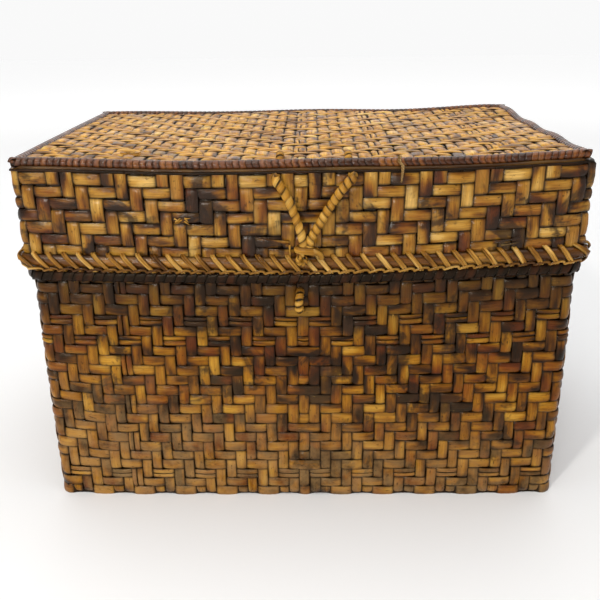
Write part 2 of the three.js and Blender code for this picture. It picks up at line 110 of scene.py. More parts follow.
def settle(points):
    """Moves points of the square trunk to where age has left them: the front rim bows and sags,
    the right end stands a little high, the back right corner is lifted and the lid flares."""
    x, y, z = points.T.copy()
    side = x / half_length
    middle = np.cos(side * math.pi / 2)
    near_end = ease(np.abs(side) / 0.9)
    towards_front = ease(0.5 - y / (2 * half_depth))
    rim = np.exp(-(((z - rim_height) / (0.35 * trunk_top)) ** 2))
    top = ease((z - rim_height) / (trunk_top - rim_height))
    lid_part = ease((z - rim_height) / (20 * MM))
    # the rims bow and sag, and one corner of the lid is raised
    y -= front_bow * middle * towards_front * rim
    z -= front_sag * middle * towards_front * np.maximum(rim, 0.8 * top) * ease(z / rim_height)
    z += right_lift * ease(side) * rim * towards_front
    z += raised_corner * top * ease((side - 0.35) / 0.6) * ease((y / half_depth - 0.2) / 0.8)
    z += edge_ripple * top * np.sin(y * 62) * ease((side - 0.9) / 0.1)
    z += top_ripple * top * np.sin(x * 23 + 1)
    # the rounded corners of the lid are drawn out square towards its top
    corner_x = np.clip(np.abs(x) - (wall_high[0] - lid_corner), 0, None)
    corner_y = np.clip(np.abs(y) - (wall_high[1] - lid_corner), 0, None)
    reach = np.hypot(corner_x, corner_y) / np.maximum(np.maximum(corner_x, corner_y), 1e-9)
    wall_part = lid_part * ease((trunk_top - rod_radius - z) / rod_radius)
    draw = corner_drawn * wall_part * np.where((corner_x > 0) & (corner_y > 0), reach - 1, 0)
    x += np.sign(x) * corner_x * draw
    y += np.sign(y) * corner_y * draw
    # the lid wall flares out at the ends, and the rods have slid a little to the left
    x += np.sign(x) * lid_flare * wall_part * near_end
    x -= rim_shift * (lid_part - wall_part)
    # the base spreads and softens at its corners, and the left front one is drawn up
    foot = ease(1 - z / (0.5 * rim_height))
    x += np.sign(x) * base_spread * foot * near_end
    past = ease((np.abs(side) - 0.66) / 0.34)
    y -= soft_corner * foot * past * np.sign(y) * ease(np.abs(y) / half_depth - 0.2)
    tucked = ease((-side - 0.74) / 0.26) * towards_front
    z += skewed_corner * tucked * np.sin(math.pi * np.clip(z / (0.75 * rim_height), 0, 1))
    # the walls are a little uneven all over
    y += front_ripple * np.sin(z * 19 + 0.6) * np.sin(x * 9 + 2) * np.sign(y)
    x += end_ripple * np.sin(z * 21 + y * 8) * np.sign(x) * ease(np.abs(side) / 0.8)
    return np.stack([x, y, z], axis=1)


# ---- cane strips as meshes ----
# Sections across a strip: share of the half width, share of the thickness.
CROWNED = np.array([
    (-1, -0.2), (-0.9, 0.38), (-0.62, 0.76), (-0.22, 0.97),
    (0.22, 0.97), (0.62, 0.76), (0.9, 0.38), (1, -0.2), (0, -0.5),
])
HALF_ROUND = np.array([
    (-1, 0), (-0.92, 0.38), (-0.7, 0.72), (-0.38, 0.94), (0, 1),
    (0.38, 0.94), (0.7, 0.72), (0.92, 0.38), (1, 0),
])
TWIN = np.array([
    (-1, 0), (-0.82, 0.8), (-0.5, 1), (-0.16, 0.8), (0, 0.3),
    (0.16, 0.8), (0.5, 1), (0.82, 0.8), (1, 0), (0, -0.4),
])
ROUND = np.array([(math.cos(a), math.sin(a)) for a in np.linspace(math.pi, -math.pi, 11)[:-1]])
UNDERSIDE = -0.4  # a section's points at or below this share are on the strip's inner face


def unit(vectors):
    """Every row scaled to length 1."""
    return vectors / np.maximum(np.linalg.norm(vectors, axis=1, keepdims=True), 1e-12)


class Bundle:
    """Cane strips gathered into one mesh, with each point's place on its own strip."""

    def __init__(self):
        self.points = []
        self.faces = []
        self.fibre = []
        self.lift = []
        self.count = 0

    def add(self, centres, normals, width, thickness, lift=0.0, section=CROWNED, seed=None,
            tilt=0.0):
        """One strip along the centres, its outer face towards the normals."""
        tangents = unit(np.gradient(centres, axis=0))
        across = unit(np.cross(tangents, normals))
        outward = np.cross(across, tangents)
        width, thickness, lean = (
            np.broadcast_to(np.asarray(value, float), (len(centres),))[:, None]
            for value in (width, thickness, tilt)
        )
        across, outward = across + outward * lean, outward - across * lean
        grid = (
            centres[:, None]
            + across[:, None] * (width / 2 * section[:, 0])[..., None]
            + outward[:, None] * (thickness * section[:, 1])[..., None]
        )
        self.add_grid(grid, section, lift, seed)

    def add_grid(self, grid, section, lift=0.0, seed=None):
        """One strip from rings of points, closed at both ends. A strip that is low on the outside
        is high on the inside."""
        n, m = grid.shape[:2]
        first = self.count + np.arange(n - 1)[:, None] * m
        j = np.arange(m)
        k = (j + 1) % m
        quads = np.stack([first + j, first + k, first + m + k, first + m + j], axis=2)
        self.faces += quads.reshape(-1, 4).tolist()
        self.faces.append((self.count + j[::-1]).tolist())
        self.faces.append((self.count + (n - 1) * m + j).tolist())
        steps = np.linalg.norm(np.diff(grid.mean(axis=1), axis=0), axis=1)
        fibre = np.empty((n, m, 3))
        fibre[..., 0] = np.concatenate([[0], np.cumsum(steps)])[:, None]
        fibre[..., 1] = section[:, 0]
        fibre[..., 2] = rng.random() if seed is None else seed
        self.points.append(grid.reshape(-1, 3))
        self.fibre.append(fibre.reshape(-1, 3))
        level = np.broadcast_to(np.asarray(lift, float), (n,))[:, None]
        inside = (section[:, 1] <= UNDERSIDE) & (len(section) == len(CROWNED))
        self.lift.append((level * np.where(inside, -1, 1)).ravel())
        self.count += n * m

    def build(self, name, material, body, replaced=(), slot=None, settled=True):
        mesh = bpy.data.meshes.new(name)
        points = np.concatenate(self.points)
        if settled:
            points = settle(points)
        mesh.from_pydata(points.tolist(), [], self.faces)
        mesh.polygons.foreach_set("use_smooth", [True] * len(mesh.polygons))
        fibre = mesh.attributes.new("fibre", "FLOAT_VECTOR", "POINT")
        fibre.data.foreach_set("vector", np.concatenate(self.fibre).ravel())
        lift = mesh.attributes.new("lift", "FLOAT", "POINT")
        lift.data.foreach_set("value", np.concatenate(self.lift))
        mesh.materials.append(material)
        piece = bpy.data.objects.new(name, mesh)
        bpy.context.scene.collection.objects.link(piece)
        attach(piece, body)
        if replaced:
            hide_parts(*replaced)
        return piece


# ---- surfaces the strips lie on ----


class Ring:
    """A line round the trunk: a rectangle with rounded corners, walked from the front's middle
    towards the right end."""

    def __init__(self, half_x, half_y, corner):
        self.flat_x = half_x - corner
        self.flat_y = half_y - corner
        self.corner = corner
        self.arc = corner * math.pi / 2
        self.length = 4 * (self.flat_x + self.flat_y + self.arc)

    def at(self, distance):
        """Points and outward directions in the XY plane at distances along the ring."""
        s = np.mod(np.asarray(distance, float), self.length)
        point = np.zeros((len(s), 2))
        normal = np.zeros((len(s), 2))
        flats = np.array([self.flat_x, self.flat_y])
        # each straight run: the way it faces, its length, and how far along it its middle is
        runs = [
            ((0, -1), self.flat_x, 0),
            ((1, 0), 2 * self.flat_y, self.flat_y),
            ((0, 1), 2 * self.flat_x, self.flat_x),
            ((-1, 0), 2 * self.flat_y, self.flat_y),
            ((0, -1), self.flat_x, self.flat_x),
        ]
        start = 0.0
        for way, length, middle in runs:
            along = np.array([-way[1], way[0]])
            here = (s >= start) & (s <= start + length)
            offset = (s[here] - start - middle)[:, None]
            point[here] = np.array(way) * (flats + self.corner) + offset * along
            normal[here] = way
            start += length
            here = (s > start) & (s <= start + self.arc)
            turn = math.atan2(way[1], way[0]) + (s[here] - start) / self.corner
            direction = np.stack([np.cos(turn), np.sin(turn)], axis=1)
            point[here] = (np.array(way) + along) * flats + self.corner * direction
            normal[here] = direction
            start += self.arc
        return point, normal


def to_space(flat, height):
    """Places in the XY plane at a height, or at a height each."""
    return np.column_stack([flat, np.broadcast_to(height, (len(flat),))])


def zigzag(column, columns):
    """Columns counted from the middle of the front or back, turning back at the middle of the
    ends."""
    quarter = columns // 4
    return abs((column + quarter) % (columns // 2) - quarter)


def relief(positions, crossings, signs, pitch, rise):
    """How high a strip lies above the sheet's middle: up where it passes over, down where under,
    with a slight crown in the middle of each float."""
    reach = 0.1 * pitch
    knots = np.concatenate([crossings - reach, crossings + reach])
    values = np.concatenate([signs, signs]).astype(float)
    order = np.argsort(knots)
    knots, values = knots[order], values[order]
    i = np.clip(np.searchsorted(knots, positions) - 1, 0, len(knots) - 2)
    gap = knots[i + 1] - knots[i]
    t = np.clip((positions - knots[i]) / gap, 0, 1)
    level = values[i] + (values[i + 1] - values[i]) * ease(t)
    crowned = (values[i] == values[i + 1]) & (gap > 2.5 * reach)
    level = level + np.where(crowned, 0.3 * values[i] * np.sin(math.pi * t), 0)
    return rise * level * (1 + wander(positions, 0.12))


def wander(positions, size):
    """A slow drift, different on every strip."""
    phase = rng.random(3) * 2 * math.pi
    return size * (
        0.5 * np.sin(positions * 13 + phase[0])
        + 0.35 * np.sin(positions * 41 + phase[1])
        + 0.3 * np.sin(positions * 118 + phase[2])
    )


def strip_width(pitch, positions, level):
    """Strips are cut unevenly, and draw in where they dive under."""
    own = rng.uniform(0.9, 1.05)
    uneven = 1 + wander(positions, 0.05)
    return pitch * strip_fill * own * uneven * (1 - 0.05 * np.clip(-level, 0, 1))


def lay(bundle, centres, normals, width, level):
    """Lays one woven strip, or two narrow ones where the cane has split along its length."""
    positions = np.arange(len(centres)) * 3 * MM
    tilt = wander(positions, 0.13)
    if rng.random() > split_share:
        bundle.add(centres, normals, width, strip_thickness, level, tilt=tilt)
        return
    across = unit(np.cross(unit(np.gradient(centres, axis=0)), normals))
    share = rng.uniform(0.35, 0.65)
    for part, way in ((share, -1), (1 - share, 1)):
        offset = across * (width * (1 - part) / 2 * way)[:, None]
        narrow = width * part * 0.97
        bundle.add(centres + offset, normals, narrow, strip_thickness, level, tilt=tilt)


# ---- woven walls ----


def wall_rows(bundles, ring, columns, heights, row_over, steps=4):
    """Strips that run round the trunk, shared out over the bundles."""
    pitch = ring.length / columns
    count = columns * steps + steps
    positions = ring.length / 2 + (np.arange(count) + 0.5) * pitch / steps
    crossings = ring.length / 2 + np.arange(-1, columns + 3) * pitch
    column_ids = (np.arange(-1, columns + 3) + columns // 2) % columns
    for row, height in heights:
        signs = np.array([1 if row_over(zigzag(c, columns), row) else -1 for c in column_ids])
        rise = relief(positions, crossings, signs, pitch, weave_rise)
        flat, normal = ring.at(positions)
        level = rise / weave_rise
        centres = to_space(flat + normal * rise[:, None], height + wander(positions, 0.8 * MM))
        width = strip_width(row_pitch, positions, level)
        lay(bundles[row % len(bundles)], centres, to_space(normal, 0), width, level)


def wall_column(bundle, ring, columns, column, top, bottom, heights, row_over, steps=4):
    """A strip that stands in the wall between two heights."""
    pitch = abs(heights[1][1] - heights[0][1])
    count = max(int((top - bottom) / pitch * steps), 8)
    z = np.linspace(top, bottom, count)
    crossings = np.array([height for _, height in heights])
    distance = zigzag(column, columns)
    signs = np.array([-1 if row_over(distance, row) else 1 for row, _ in heights])
    rise = relief(z, crossings, signs, pitch, weave_rise)
    pitch_round = ring.length / columns
    half = strip_width(pitch_round, z, rise / weave_rise) / 2
    middle = column * pitch_round + wander(z, 0.6 * MM)
    grid = np.empty((count, len(CROWNED), 3))
    for i, (across, up) in enumerate(CROWNED):
        flat, normal = ring.at(middle + across * half)
        grid[:, i] = to_space(flat + normal * (rise + up * strip_thickness)[:, None], z)
    bundle.add_grid(grid[:, ::-1], CROWNED[::-1], rise / weave_rise)


def body_over(distance, row):
    """Where a body strip passes over: two over, two under, one further each row."""
    return (distance - row) % 4 < 2


def lid_over(distance, row):
    """The same twill on the lid, leaning the other way."""
    return (distance + row + 1) % 4 < 2


def bottom_over(column, row):
    """The bottom's twill, which turns back at both of its middle lines."""
    return (abs(column) + abs(row)) % 4 < 2


# ---- body ----
middle_row_height = 0.665 * rim_height
body_ring = Ring(body_high[0] - sheet / 2, body_high[1] - sheet / 2, body_corner - sheet / 2)
body_heights = [(row, middle_row_height - row * row_pitch) for row in range(-7, 16)]


class TurnedPath:
    """A strip's way down one wall, round the base edge, across the bottom and up the far wall."""

    def __init__(self, half_span, top):
        self.turn = base_turn - sheet / 2
        self.drop = top - base_turn
        self.arc = self.turn * math.pi / 2
        self.flat = 2 * (half_span - self.turn)
        self.half_span = half_span
        self.top = top
        self.length = 2 * (self.drop + self.arc) + self.flat

    def at(self, distance):
        """Offset from the wall's near face towards the far one, height, and the outward normal."""
        far = distance > self.length / 2
        s = np.where(far, self.length - distance, distance)
        angle = np.clip((s - self.drop) / self.turn, 0, math.pi / 2)
        inward = self.turn * (1 - np.cos(angle)) + np.clip(s - self.drop - self.arc, 0, None)
        height = self.top - np.clip(s, 0, self.drop) - self.turn * np.sin(angle)
        offset = np.where(far, 2 * self.half_span - inward, inward) - self.half_span
        out = np.where(far, np.cos(angle), -np.cos(angle))
        return offset, height, out, -np.sin(angle)

    def wall_place(self, height):
        return self.top - height

    def bottom_place(self, offset):
        return self.drop + self.arc + offset + self.half_span - self.turn


def through_strip(bundle, path, column, cross, lateral, crossings_bottom, bottom_rule, pitch):
    """A strip that stands in two facing walls and crosses the bottom between them."""
    steps = 3  # points for each row it crosses
    s = np.linspace(0, path.length, int(path.length / row_pitch * steps))
    distance = zigzag(column, body_columns)
    near = [(path.wall_place(z), -1 if body_over(distance, row) else 1) for row, z in body_heights]
    below = [
        (path.bottom_place(place), 1 if bottom_rule(index) else -1)
        for index, place in crossings_bottom
    ]
    far = [(path.length - place, sign) for place, sign in near]
    places, signs = np.array(near + below + far).T
    rise = relief(s, places, signs, row_pitch, weave_rise)
    offset, height, out, down = path.at(s)
    sideways = lateral + wander(s, 0.7 * MM)
    place = offset + out * rise
    high = height + down * rise
    zero = np.zeros(len(s))
    if cross == "y":
        centres = np.stack([sideways, place, high], axis=1)
        normals = np.stack([zero, out, down], axis=1)
    else:
        centres = np.stack([place, sideways, high], axis=1)
        normals = np.stack([out, zero, down], axis=1)
    level = rise / weave_rise
    lay(bundle, centres, normals, strip_width(pitch, s, level), level)


def corner_strip(bundle, side_x, side_y):
    """A strip down a rounded corner and diagonally in under the base, filling the weave's gap."""
    turn = base_turn - sheet / 2
    angle = np.concatenate([np.zeros(5), np.linspace(0, math.pi / 2, 6), np.full(5, math.pi / 2)])
    inward = np.concatenate([np.zeros(11), np.linspace(5, 25, 5) * MM])
    above = np.concatenate([np.linspace(32, 6, 5) * MM, np.zeros(11)])
    reach = body_ring.corner - turn * (1 - np.cos(angle)) - inward
    height = base_turn + above - turn * np.sin(angle)
    way = np.array([side_x, side_y]) / math.sqrt(2)
    middle = np.array([side_x * body_ring.flat_x, side_y * body_ring.flat_y])
    centres = to_space(middle + reach[:, None] * way, height)
    normals = np.column_stack([np.cos(angle)[:, None] * way, -np.sin(angle)])
    bundle.add(centres, normals, row_pitch, strip_thickness, -0.3, seed=0.5)


def make_body(material):
    """The walls, row by row, and the strips that stand in them and cross the bottom."""
    rows = [Bundle() for _ in range(4)]
    wall_rows(rows, body_ring, body_columns, body_heights, body_over)
    for i, bundle in enumerate(rows):
        replaced = ["body_weave"] if i == 0 else []
        bundle.build(f"body_rows_{i + 1}", material, "body", replaced, "body_weave")
    pitch = body_ring.length / body_columns
    quarter = body_columns // 4
    long_reach = int(body_ring.flat_x / pitch)
    short_reach = int(body_ring.flat_y / pitch)
    long_columns = range(-long_reach, long_reach + 1)
    short_columns = range(-short_reach, short_reach + 1)
    stakes = [Bundle() for _ in range(4)]
    top = rim_height - 0.5 * MM
    front_path = TurnedPath(body_high[1] - sheet / 2, top)
    end_path = TurnedPath(body_high[0] - sheet / 2, top)
    for column in long_columns:
        through_strip(
            stakes[column % 4], front_path, column, "y", column * pitch,
            [(row, row * pitch) for row in short_columns],
            lambda row, column=column: not bottom_over(column, row), pitch,
        )
    for column in short_columns:
        through_strip(
            stakes[column % 4], end_path, column + quarter, "x", column * pitch,
            [(place, place * pitch) for place in long_columns],
            lambda place, column=column: bottom_over(place, column), pitch,
        )
    for column in range(body_columns):
        from_middle = zigzag(column, body_columns)
        if long_reach < from_middle < quarter - short_reach:
            wall_column(
                stakes[column % 4], body_ring, body_columns, column, top, base_turn * 0.6,
                body_heights, body_over,
            )
    for side_x in (-1, 1):
        for side_y in (-1, 1):
            corner_strip(stakes[0], side_x, side_y)
    for i, bundle in enumerate(stakes):
        bundle.build(f"body_stakes_{i + 1}", material, "body", (), "body_weave")


# ---- lid ----
lid_ring = Ring(wall_high[0] - sheet / 2, wall_high[1] - sheet / 2, lid_corner + 1 * MM)
first_lid_row = wall_high[2] - 9.5 * MM
lid_heights = [(row, first_lid_row - row * lid_row_pitch) for row in range(8)]


def make_lid_wall(material):
    """Rows round the lid and the short strips that stand in them."""
    rows = [Bundle() for _ in range(2)]
    wall_rows(rows, lid_ring, lid_columns, lid_heights, lid_over)
    for i, bundle in enumerate(rows):
        replaced = ["lid_wall"] if i == 0 else []
        bundle.build(f"lid_rows_{i + 1}", material, "lid", replaced, "lid_weave")
    stakes = [Bundle() for _ in range(2)]
    for column in range(lid_columns):
        wall_column(
            stakes[column % 2], lid_ring, lid_columns, column, wall_high[2] - 0.3 * MM,
            wall_low[2] + 0.3 * MM, lid_heights, lid_over,
        )
    for i, bundle in enumerate(stakes):
        bundle.build(f"lid_stakes_{i + 1}", material, "lid", (), "lid_weave")


def panel_strip(bundle, across_x, lateral, half_span, crossings, signs, pitch, cross_pitch):
    """A strip of the lid's top, along X or along Y."""
    steps = 4  # points for each strip it crosses
    s = np.linspace(-half_span, half_span, int(2 * half_span / cross_pitch * steps))
    rise = relief(s, crossings, signs, cross_pitch, panel_rise)
    middle = (panel_low[2] + panel_high[2]) / 2
    swell = 0.8 * MM * np.sin(s * 14 + lateral * 9)
    side = lateral + wander(s, 1.1 * MM)
    if across_x:
        centres = np.stack([s, side, middle + rise + swell], axis=1)
    else:
        swell = 0.8 * MM * np.sin(lateral * 14 + s * 9)
        centres = np.stack([side, s, middle + rise + swell], axis=1)
    up = np.tile([0.0, 0.0, 1.0], (len(s), 1))
    level = rise / panel_rise
    lay(bundle, centres, up, strip_width(pitch, s, level), level)


def make_lid_panel(material):
    """The lid's top: strips along it and strips across it."""
    pitch = lid_ring.length / lid_columns
    columns = np.arange(-20, 21)  # counted from the middle of the top
    rows = np.arange(-14, 14)
    row_pitch_top = (panel_high[1] - panel_low[1]) / len(rows)
    places_x = columns * (panel_high[0] - panel_low[0]) / len(columns)
    places_y = (rows + 0.5) * row_pitch_top
    wefts = [Bundle() for _ in range(2)]
    warps = [Bundle() for _ in range(2)]
    for row, y in zip(rows, places_y):
        signs = np.array([1 if lid_over(abs(c), -row) else -1 for c in columns])
        panel_strip(wefts[row % 2], True, y, panel_high[0], places_x, signs, row_pitch_top, pitch)
    for column, x in zip(columns, places_x):
        signs = np.array([-1 if lid_over(abs(column), -row) else 1 for row in rows])
        bundle = warps[column % 2]
        panel_strip(bundle, False, x, panel_high[1], places_y, signs, pitch, row_pitch_top)
    for i in range(2):
        replaced = ["lid_panel"] if i == 0 else []
        wefts[i].build(f"lid_top_wefts_{i + 1}", material, "lid", replaced, "lid_top")
        warps[i].build(f"lid_top_warps_{i + 1}", material, "lid", (), "lid_top")


# ---- cane wound round a core ----


def distances(points):
    """How far along their line the points lie."""
    return np.concatenate([[0], np.cumsum(np.linalg.norm(np.diff(points, axis=0), axis=1))])


def sample(distance, station, rows):
    """Rows of vectors given at the stations, read off at distances between them."""
    return np.stack([np.interp(distance, station, rows[:, i]) for i in range(3)], axis=-1)


def wound(bundle, points, out, half_out, half_up, pitch, strands=1, steps=12, thickness=0.9 * MM,
          lap=0.05):
    """Strips wound round a core of oval section. out is the section's first axis at every point."""
    station = distances(points)
    lead = pitch * strands
    count = int(station[-1] / lead * steps) + 2
    s = np.linspace(0, station[-1], count)
    centre = sample(s, station, points)
    first = unit(sample(s, station, out))
    tangent = unit(np.gradient(centre, axis=0))
    first = unit(first - tangent * np.sum(first * tangent, axis=1, keepdims=True))
    second = np.cross(tangent, first)
    for strand in range(strands):
        angle = -2 * math.pi * (s / lead + strand / strands)
        cos, sin = np.cos(angle)[:, None], np.sin(angle)[:, None]
        place = centre + first * cos * half_out + second * sin * half_up
        normal = unit(first * cos / half_out + second * sin / half_up) + tangent * lap
        bundle.add(place, normal, pitch * rng.uniform(0.97, 1.0), thickness, 0.9)


def banded(bundle, points, radius, pitch, lean):
    """A cord bound with separate turns of cane side by side, each a little askew."""
    station = distances(points)
    out = steady_out(points, (1, 0, 0))
    seam_shade_core(bundle, points, out, radius, radius)
    tangent = unit(np.gradient(points, axis=0))
    angle = np.linspace(0, 2.1 * math.pi, 26)
    for middle in np.arange(pitch * 0.4, station[-1], pitch):
        place, first, along = (sample(middle, station, rows) for rows in (points, out, tangent))
        second = np.cross(along, first)
        askew = (lean + rng.uniform(-0.5, 0.5) * MM) * np.cos(angle + rng.uniform(-0.3, 0.3))
        around = np.cos(angle)[:, None] * first + np.sin(angle)[:, None] * second
        ring = place + around * radius * rng.uniform(0.95, 1.05) + along * askew[:, None]
        bundle.add(ring, around, pitch * 0.99, 0.9 * MM, 0.9)


def rounded_end(bundle, line, radius):
    """A dome over the first end of a cord."""
    share = np.array([0.0, 0.4, 0.75, 0.95])
    upwards = unit(line[:1] - line[1:2])
    size = radius * np.sqrt(1 - share**2)
    centres = line[0] + upwards * radius * share[:, None]
    bundle.add(centres, np.tile([1.0, 0.0, 0.0], (4, 1)), 2 * size, size, 0.6, ROUND)


def seam_shade_core(bundle, points, out, half_out, half_up):
    """The plain core inside a winding. Its lift of -1 paints it near black, as painted shade in the
    seams between the turns.
    """
    bundle.add(points, unit(out), 2 * half_up, half_out, -1.0, ROUND)


def ring_line(ring, height, step=3 * MM):
    """A closed line round the trunk with its outward directions."""
    count = int(ring.length / step)
    s = ring.length / 2 + np.linspace(0, ring.length, count)
    flat, normal = ring.at(s)
    return to_space(flat, height), to_space(normal, 0)


def make_body_hoop(material):
    """The dark hoop round the body's top edge, wound with wide cane."""
    low, high = node_box("body_outer_hoop")
    half_out = (high[0] - body_high[0]) / 2
    half_up = (high[2] - low[2]) / 2
    ring = Ring(body_high[0] + half_out, body_high[1] + half_out, body_corner + half_out)
    line, out = ring_line(ring, (low[2] + high[2]) / 2)
    bundle = Bundle()
    seam_shade_core(bundle, line, out, half_out - 0.3 * MM, half_up - 0.5 * MM)
    turn = 10.5 * MM
    wound(bundle, line, out, half_out, half_up - 0.4 * MM, turn, lap=0.012, thickness=0.6 * MM)
    bundle.build("body_hoop_winding", material, "body", ["body_outer_hoop"], "dark_cane")


def make_half_round(node, name, material, body, outwards, slot):
    """A hoop of split cane, flat against the weave."""
    low, high = node_box(node)
    sheet_high = body_high if body == "body" else wall_high
    face = sheet_high if outwards else sheet_high - sheet
    depth = (high - sheet_high)[0] if outwards else 5 * MM
    corner = (body_corner if body == "body" else lid_corner + 3 * MM) - (0 if outwards else sheet)
    ring = Ring(face[0], face[1], max(corner, 2 * MM))
    line, out = ring_line(ring, (low[2] + high[2]) / 2)
    bundle = Bundle()
    way = 1 if outwards else -1
    face_line = line + out * way * 0.2 * MM
    bundle.add(face_line, out * way, high[2] - low[2], depth, 0.9, HALF_ROUND)
    bundle.build(name, material, body, [node], slot)


def straight_line(start, end, step=3 * MM):
    """A straight line with even steps."""
    count = max(int(np.linalg.norm(np.array(end) - np.array(start)) / step), 8)
    return np.linspace(start, end, count)


def make_rim_rods(material):
    """The four wound rods that frame the lid's top."""
    rod_turn_pitch = 6.4 * MM
    core = rod_radius - 0.6 * MM
    turn = rod_radius - 0.5 * MM
    level = trunk_top - rod_radius
    x = half_length - rod_radius
    y = half_depth - rod_radius
    runs = {
        "front": ((-x, -y), (x, -y), (0, -1)),
        "right": ((x, -y), (x, y), (1, 0)),
        "back": ((x, y), (-x, y), (0, 1)),
        "left": ((-x, y), (-x, -y), (-1, 0)),
    }
    for side, (start, end, way) in runs.items():
        line = straight_line((*start, level), (*end, level))
        out = np.tile([way[0], way[1], 0.0], (len(line), 1))
        bundle = Bundle()
        overhang = unit(line[-1:] - line[:1]) * rod_radius * 0.8
        line = np.concatenate([line[:1] - overhang, line, line[-1:] + overhang])
        out = np.concatenate([out[:1], out, out[-1:]])
        seam_shade_core(bundle, line, out, core, core)
        wound(bundle, line, out, turn, turn, rod_turn_pitch, lap=0.03, thickness=0.6 * MM)
        bundle.build(f"rim_winding_{side}", material, "lid", [f"lid_rim_rod_{side}"], "red_cane")


def make_corner_hoop(material):
    """The hoop inside the lid's top corner, and packing that closes the edge."""
    low, high = node_box("lid_corner_hoop")
    radius = (high[2] - low[2]) / 2
    ring = Ring(high[0] - radius, high[1] - radius, lid_corner - sheet)
    line, out = ring_line(ring, (low[2] + high[2]) / 2)
    bundle = Bundle()
    bundle.add(line, out, 2 * radius, radius, 0.9, ROUND)
    packing = 2.1 * MM  # a cane laid between the wall's top edge and the rods
    edge = wall_high - sheet + 0.4 * MM
    line, out = ring_line(Ring(edge[0], edge[1], lid_corner), wall_high[2] + 0.5 * MM)
    # its low lift of 0.2 paints it much darker, as painted shade under the rods
    bundle.add(line, out, 2 * packing, packing, 0.2, ROUND)
    bundle.build("lid_corner_cane", material, "lid", ["lid_corner_hoop"], "hoop_cane")


def make_band(material):
    """A thin strip round the wall just under the rods, in lengths that overlap. It is given the
    near-black hoop cane and a low lift, as painted shade under the rods.
    """
    low, high = node_box("lid_under_rim_band")
    ring = Ring(wall_high[0] + 0.2 * MM, wall_high[1] + 0.2 * MM, lid_corner + 3 * MM)
    band_width = (high[2] - low[2]) * 0.36
    line, out = ring_line(ring, high[2] - band_width / 2)
    bundle = Bundle()
    lengths = 5
    for i in range(lengths):
        first = int(i * len(line) / lengths)
        last = min(int((i + 1) * len(line) / lengths) + 6, len(line))
        raised = out[first:last] * (0.15 + 0.25 * (i % 2)) * MM
        bundle.add(line[first:last] + raised, out[first:last], band_width, 1.1 * MM, 0.4)
    bundle.build("lid_band_strip", material, "lid", ["lid_under_rim_band"], "dark_cane")


# ---- lashing ----


def between(p0, p1, p2, p3, t):
    """Points of the smooth curve through four points, between the middle two."""
    return 0.5 * (
        2 * p1 + (p2 - p0) * t + (2 * p0 - 5 * p1 + 4 * p2 - p3) * t**2
        + (3 * p1 - p0 - 3 * p2 + p3) * t**3
    )


def smooth_closed(points, shares):
    """Points on a smooth closed line through the given ones."""
    n = len(points)
    place = np.mod(shares, 1) * n
    i = np.floor(place).astype(int)
    return between(*(points[(i + k) % n] for k in (-1, 0, 1, 2)), (place - i)[:, None])


stitch_pitch = 15 * MM


def make_lashing(material):
    """A twin strand coiled round both hoops and the wall, and the strand chained along its foot."""
    low, high = node_box("lid_outer_hoop")
    top, foot = high[2], low[2]
    outer = high[0] - wall_high[0] + 0.7 * MM
    inner = -(sheet + 5.9 * MM)
    ring = Ring(wall_high[0], wall_high[1], lid_corner + 3 * MM)
    height = top - foot
    # outward from the wall's face, height, share of the pitch travelled
    loop = np.array([
        (-1.0 * MM, top + 1.2 * MM, 0.00),
        (outer * 0.5, top + 0.8 * MM, 0.06),
        (outer * 0.92, top - 0.14 * height, 0.24),
        (outer * 1.06, top - 0.45 * height, 0.52),
        (outer * 1.0, foot + 0.18 * height, 0.82),
        (outer * 0.72, foot - 1.2 * MM, 0.98),
        (0.0, foot - 1.7 * MM, 1.02),
        (inner * 0.75, foot - 1.0 * MM, 1.0),
        (inner * 1.05, foot + 0.3 * height, 1.0),
        (inner * 1.02, top - 0.2 * height, 1.0),
        (inner * 0.55, top + 1.4 * MM, 1.0),
    ])
    stitches = 2 * round(ring.length / stitch_pitch / 2)
    pitch = ring.length / stitches
    steps = 22  # points round one turn of the coil
    share = np.arange(stitches * steps + 1) / steps
    section = smooth_closed(loop[:, :2], share)
    travel = np.interp(np.mod(share, 1), np.arange(len(loop) + 1) / len(loop), [*loop[:, 2], 1.0])
    stitch = np.floor(share)
    loose = 0.9 * MM * np.sin(stitch * 2.4) + 0.6 * MM * np.sin(stitch * 5.1)
    shift = loose * np.sin(np.mod(share, 1) * math.pi)
    s = ring.length / 2 + (stitch + travel) * pitch + shift
    flat, normal = ring.at(s)
    centres = to_space(flat + normal * section[:, :1], section[:, 1])
    middle_out = (outer + inner) / 2
    middle_up = (top + foot) / 2
    outward = np.stack([section[:, 0] - middle_out, (section[:, 1] - middle_up) * 1.1], axis=1)
    normals = unit(to_space(normal * outward[:, :1], outward[:, 1]))
    bundle = Bundle()
    bundle.add(centres, normals, 5.4 * MM, 1.6 * MM, 0.6, TWIN)
    replaced = [f"lid_lashing_{side}" for side in ("front", "back", "left", "right")]
    bundle.build("lid_lashing_coil", material, "lid", replaced, "pale_cane")
    chain = Bundle()
    share = np.arange(stitches * 12 + 1) / 12
    swing = 2 * math.pi * share
    s = ring.length / 2 + share * pitch + 2.2 * MM * np.sin(swing)
    flat, normal = ring.at(s)
    out = outer * 0.93 + 0.9 * MM * np.cos(swing)
    level = foot - 0.3 * MM + 1.5 * MM * np.sin(swing + 0.8)
    centres = to_space(flat + normal * out[:, None], level)
    normals = unit(to_space(normal, -0.45))
    chain.add(centres, normals, 3.2 * MM, 1.4 * MM, 0.5, CROWNED)
    chain.build("lid_lashing_chain", material, "lid", (), "pale_cane")


# ---- cords: hasp, staple, hinges, ties ----


def smooth_line(points, count):
    """A smooth open line through the points, with even steps."""
    points = np.array(points, float)
    before = 2 * points[:1] - points[1:2]
    after = 2 * points[-1:] - points[-2:-1]
    padded = np.concatenate([before, points, after])
    place = np.linspace(0, len(points) - 1 - 1e-9, count)
    i = np.floor(place).astype(int)
    return between(*(padded[i + k] for k in range(4)), (place - i)[:, None])


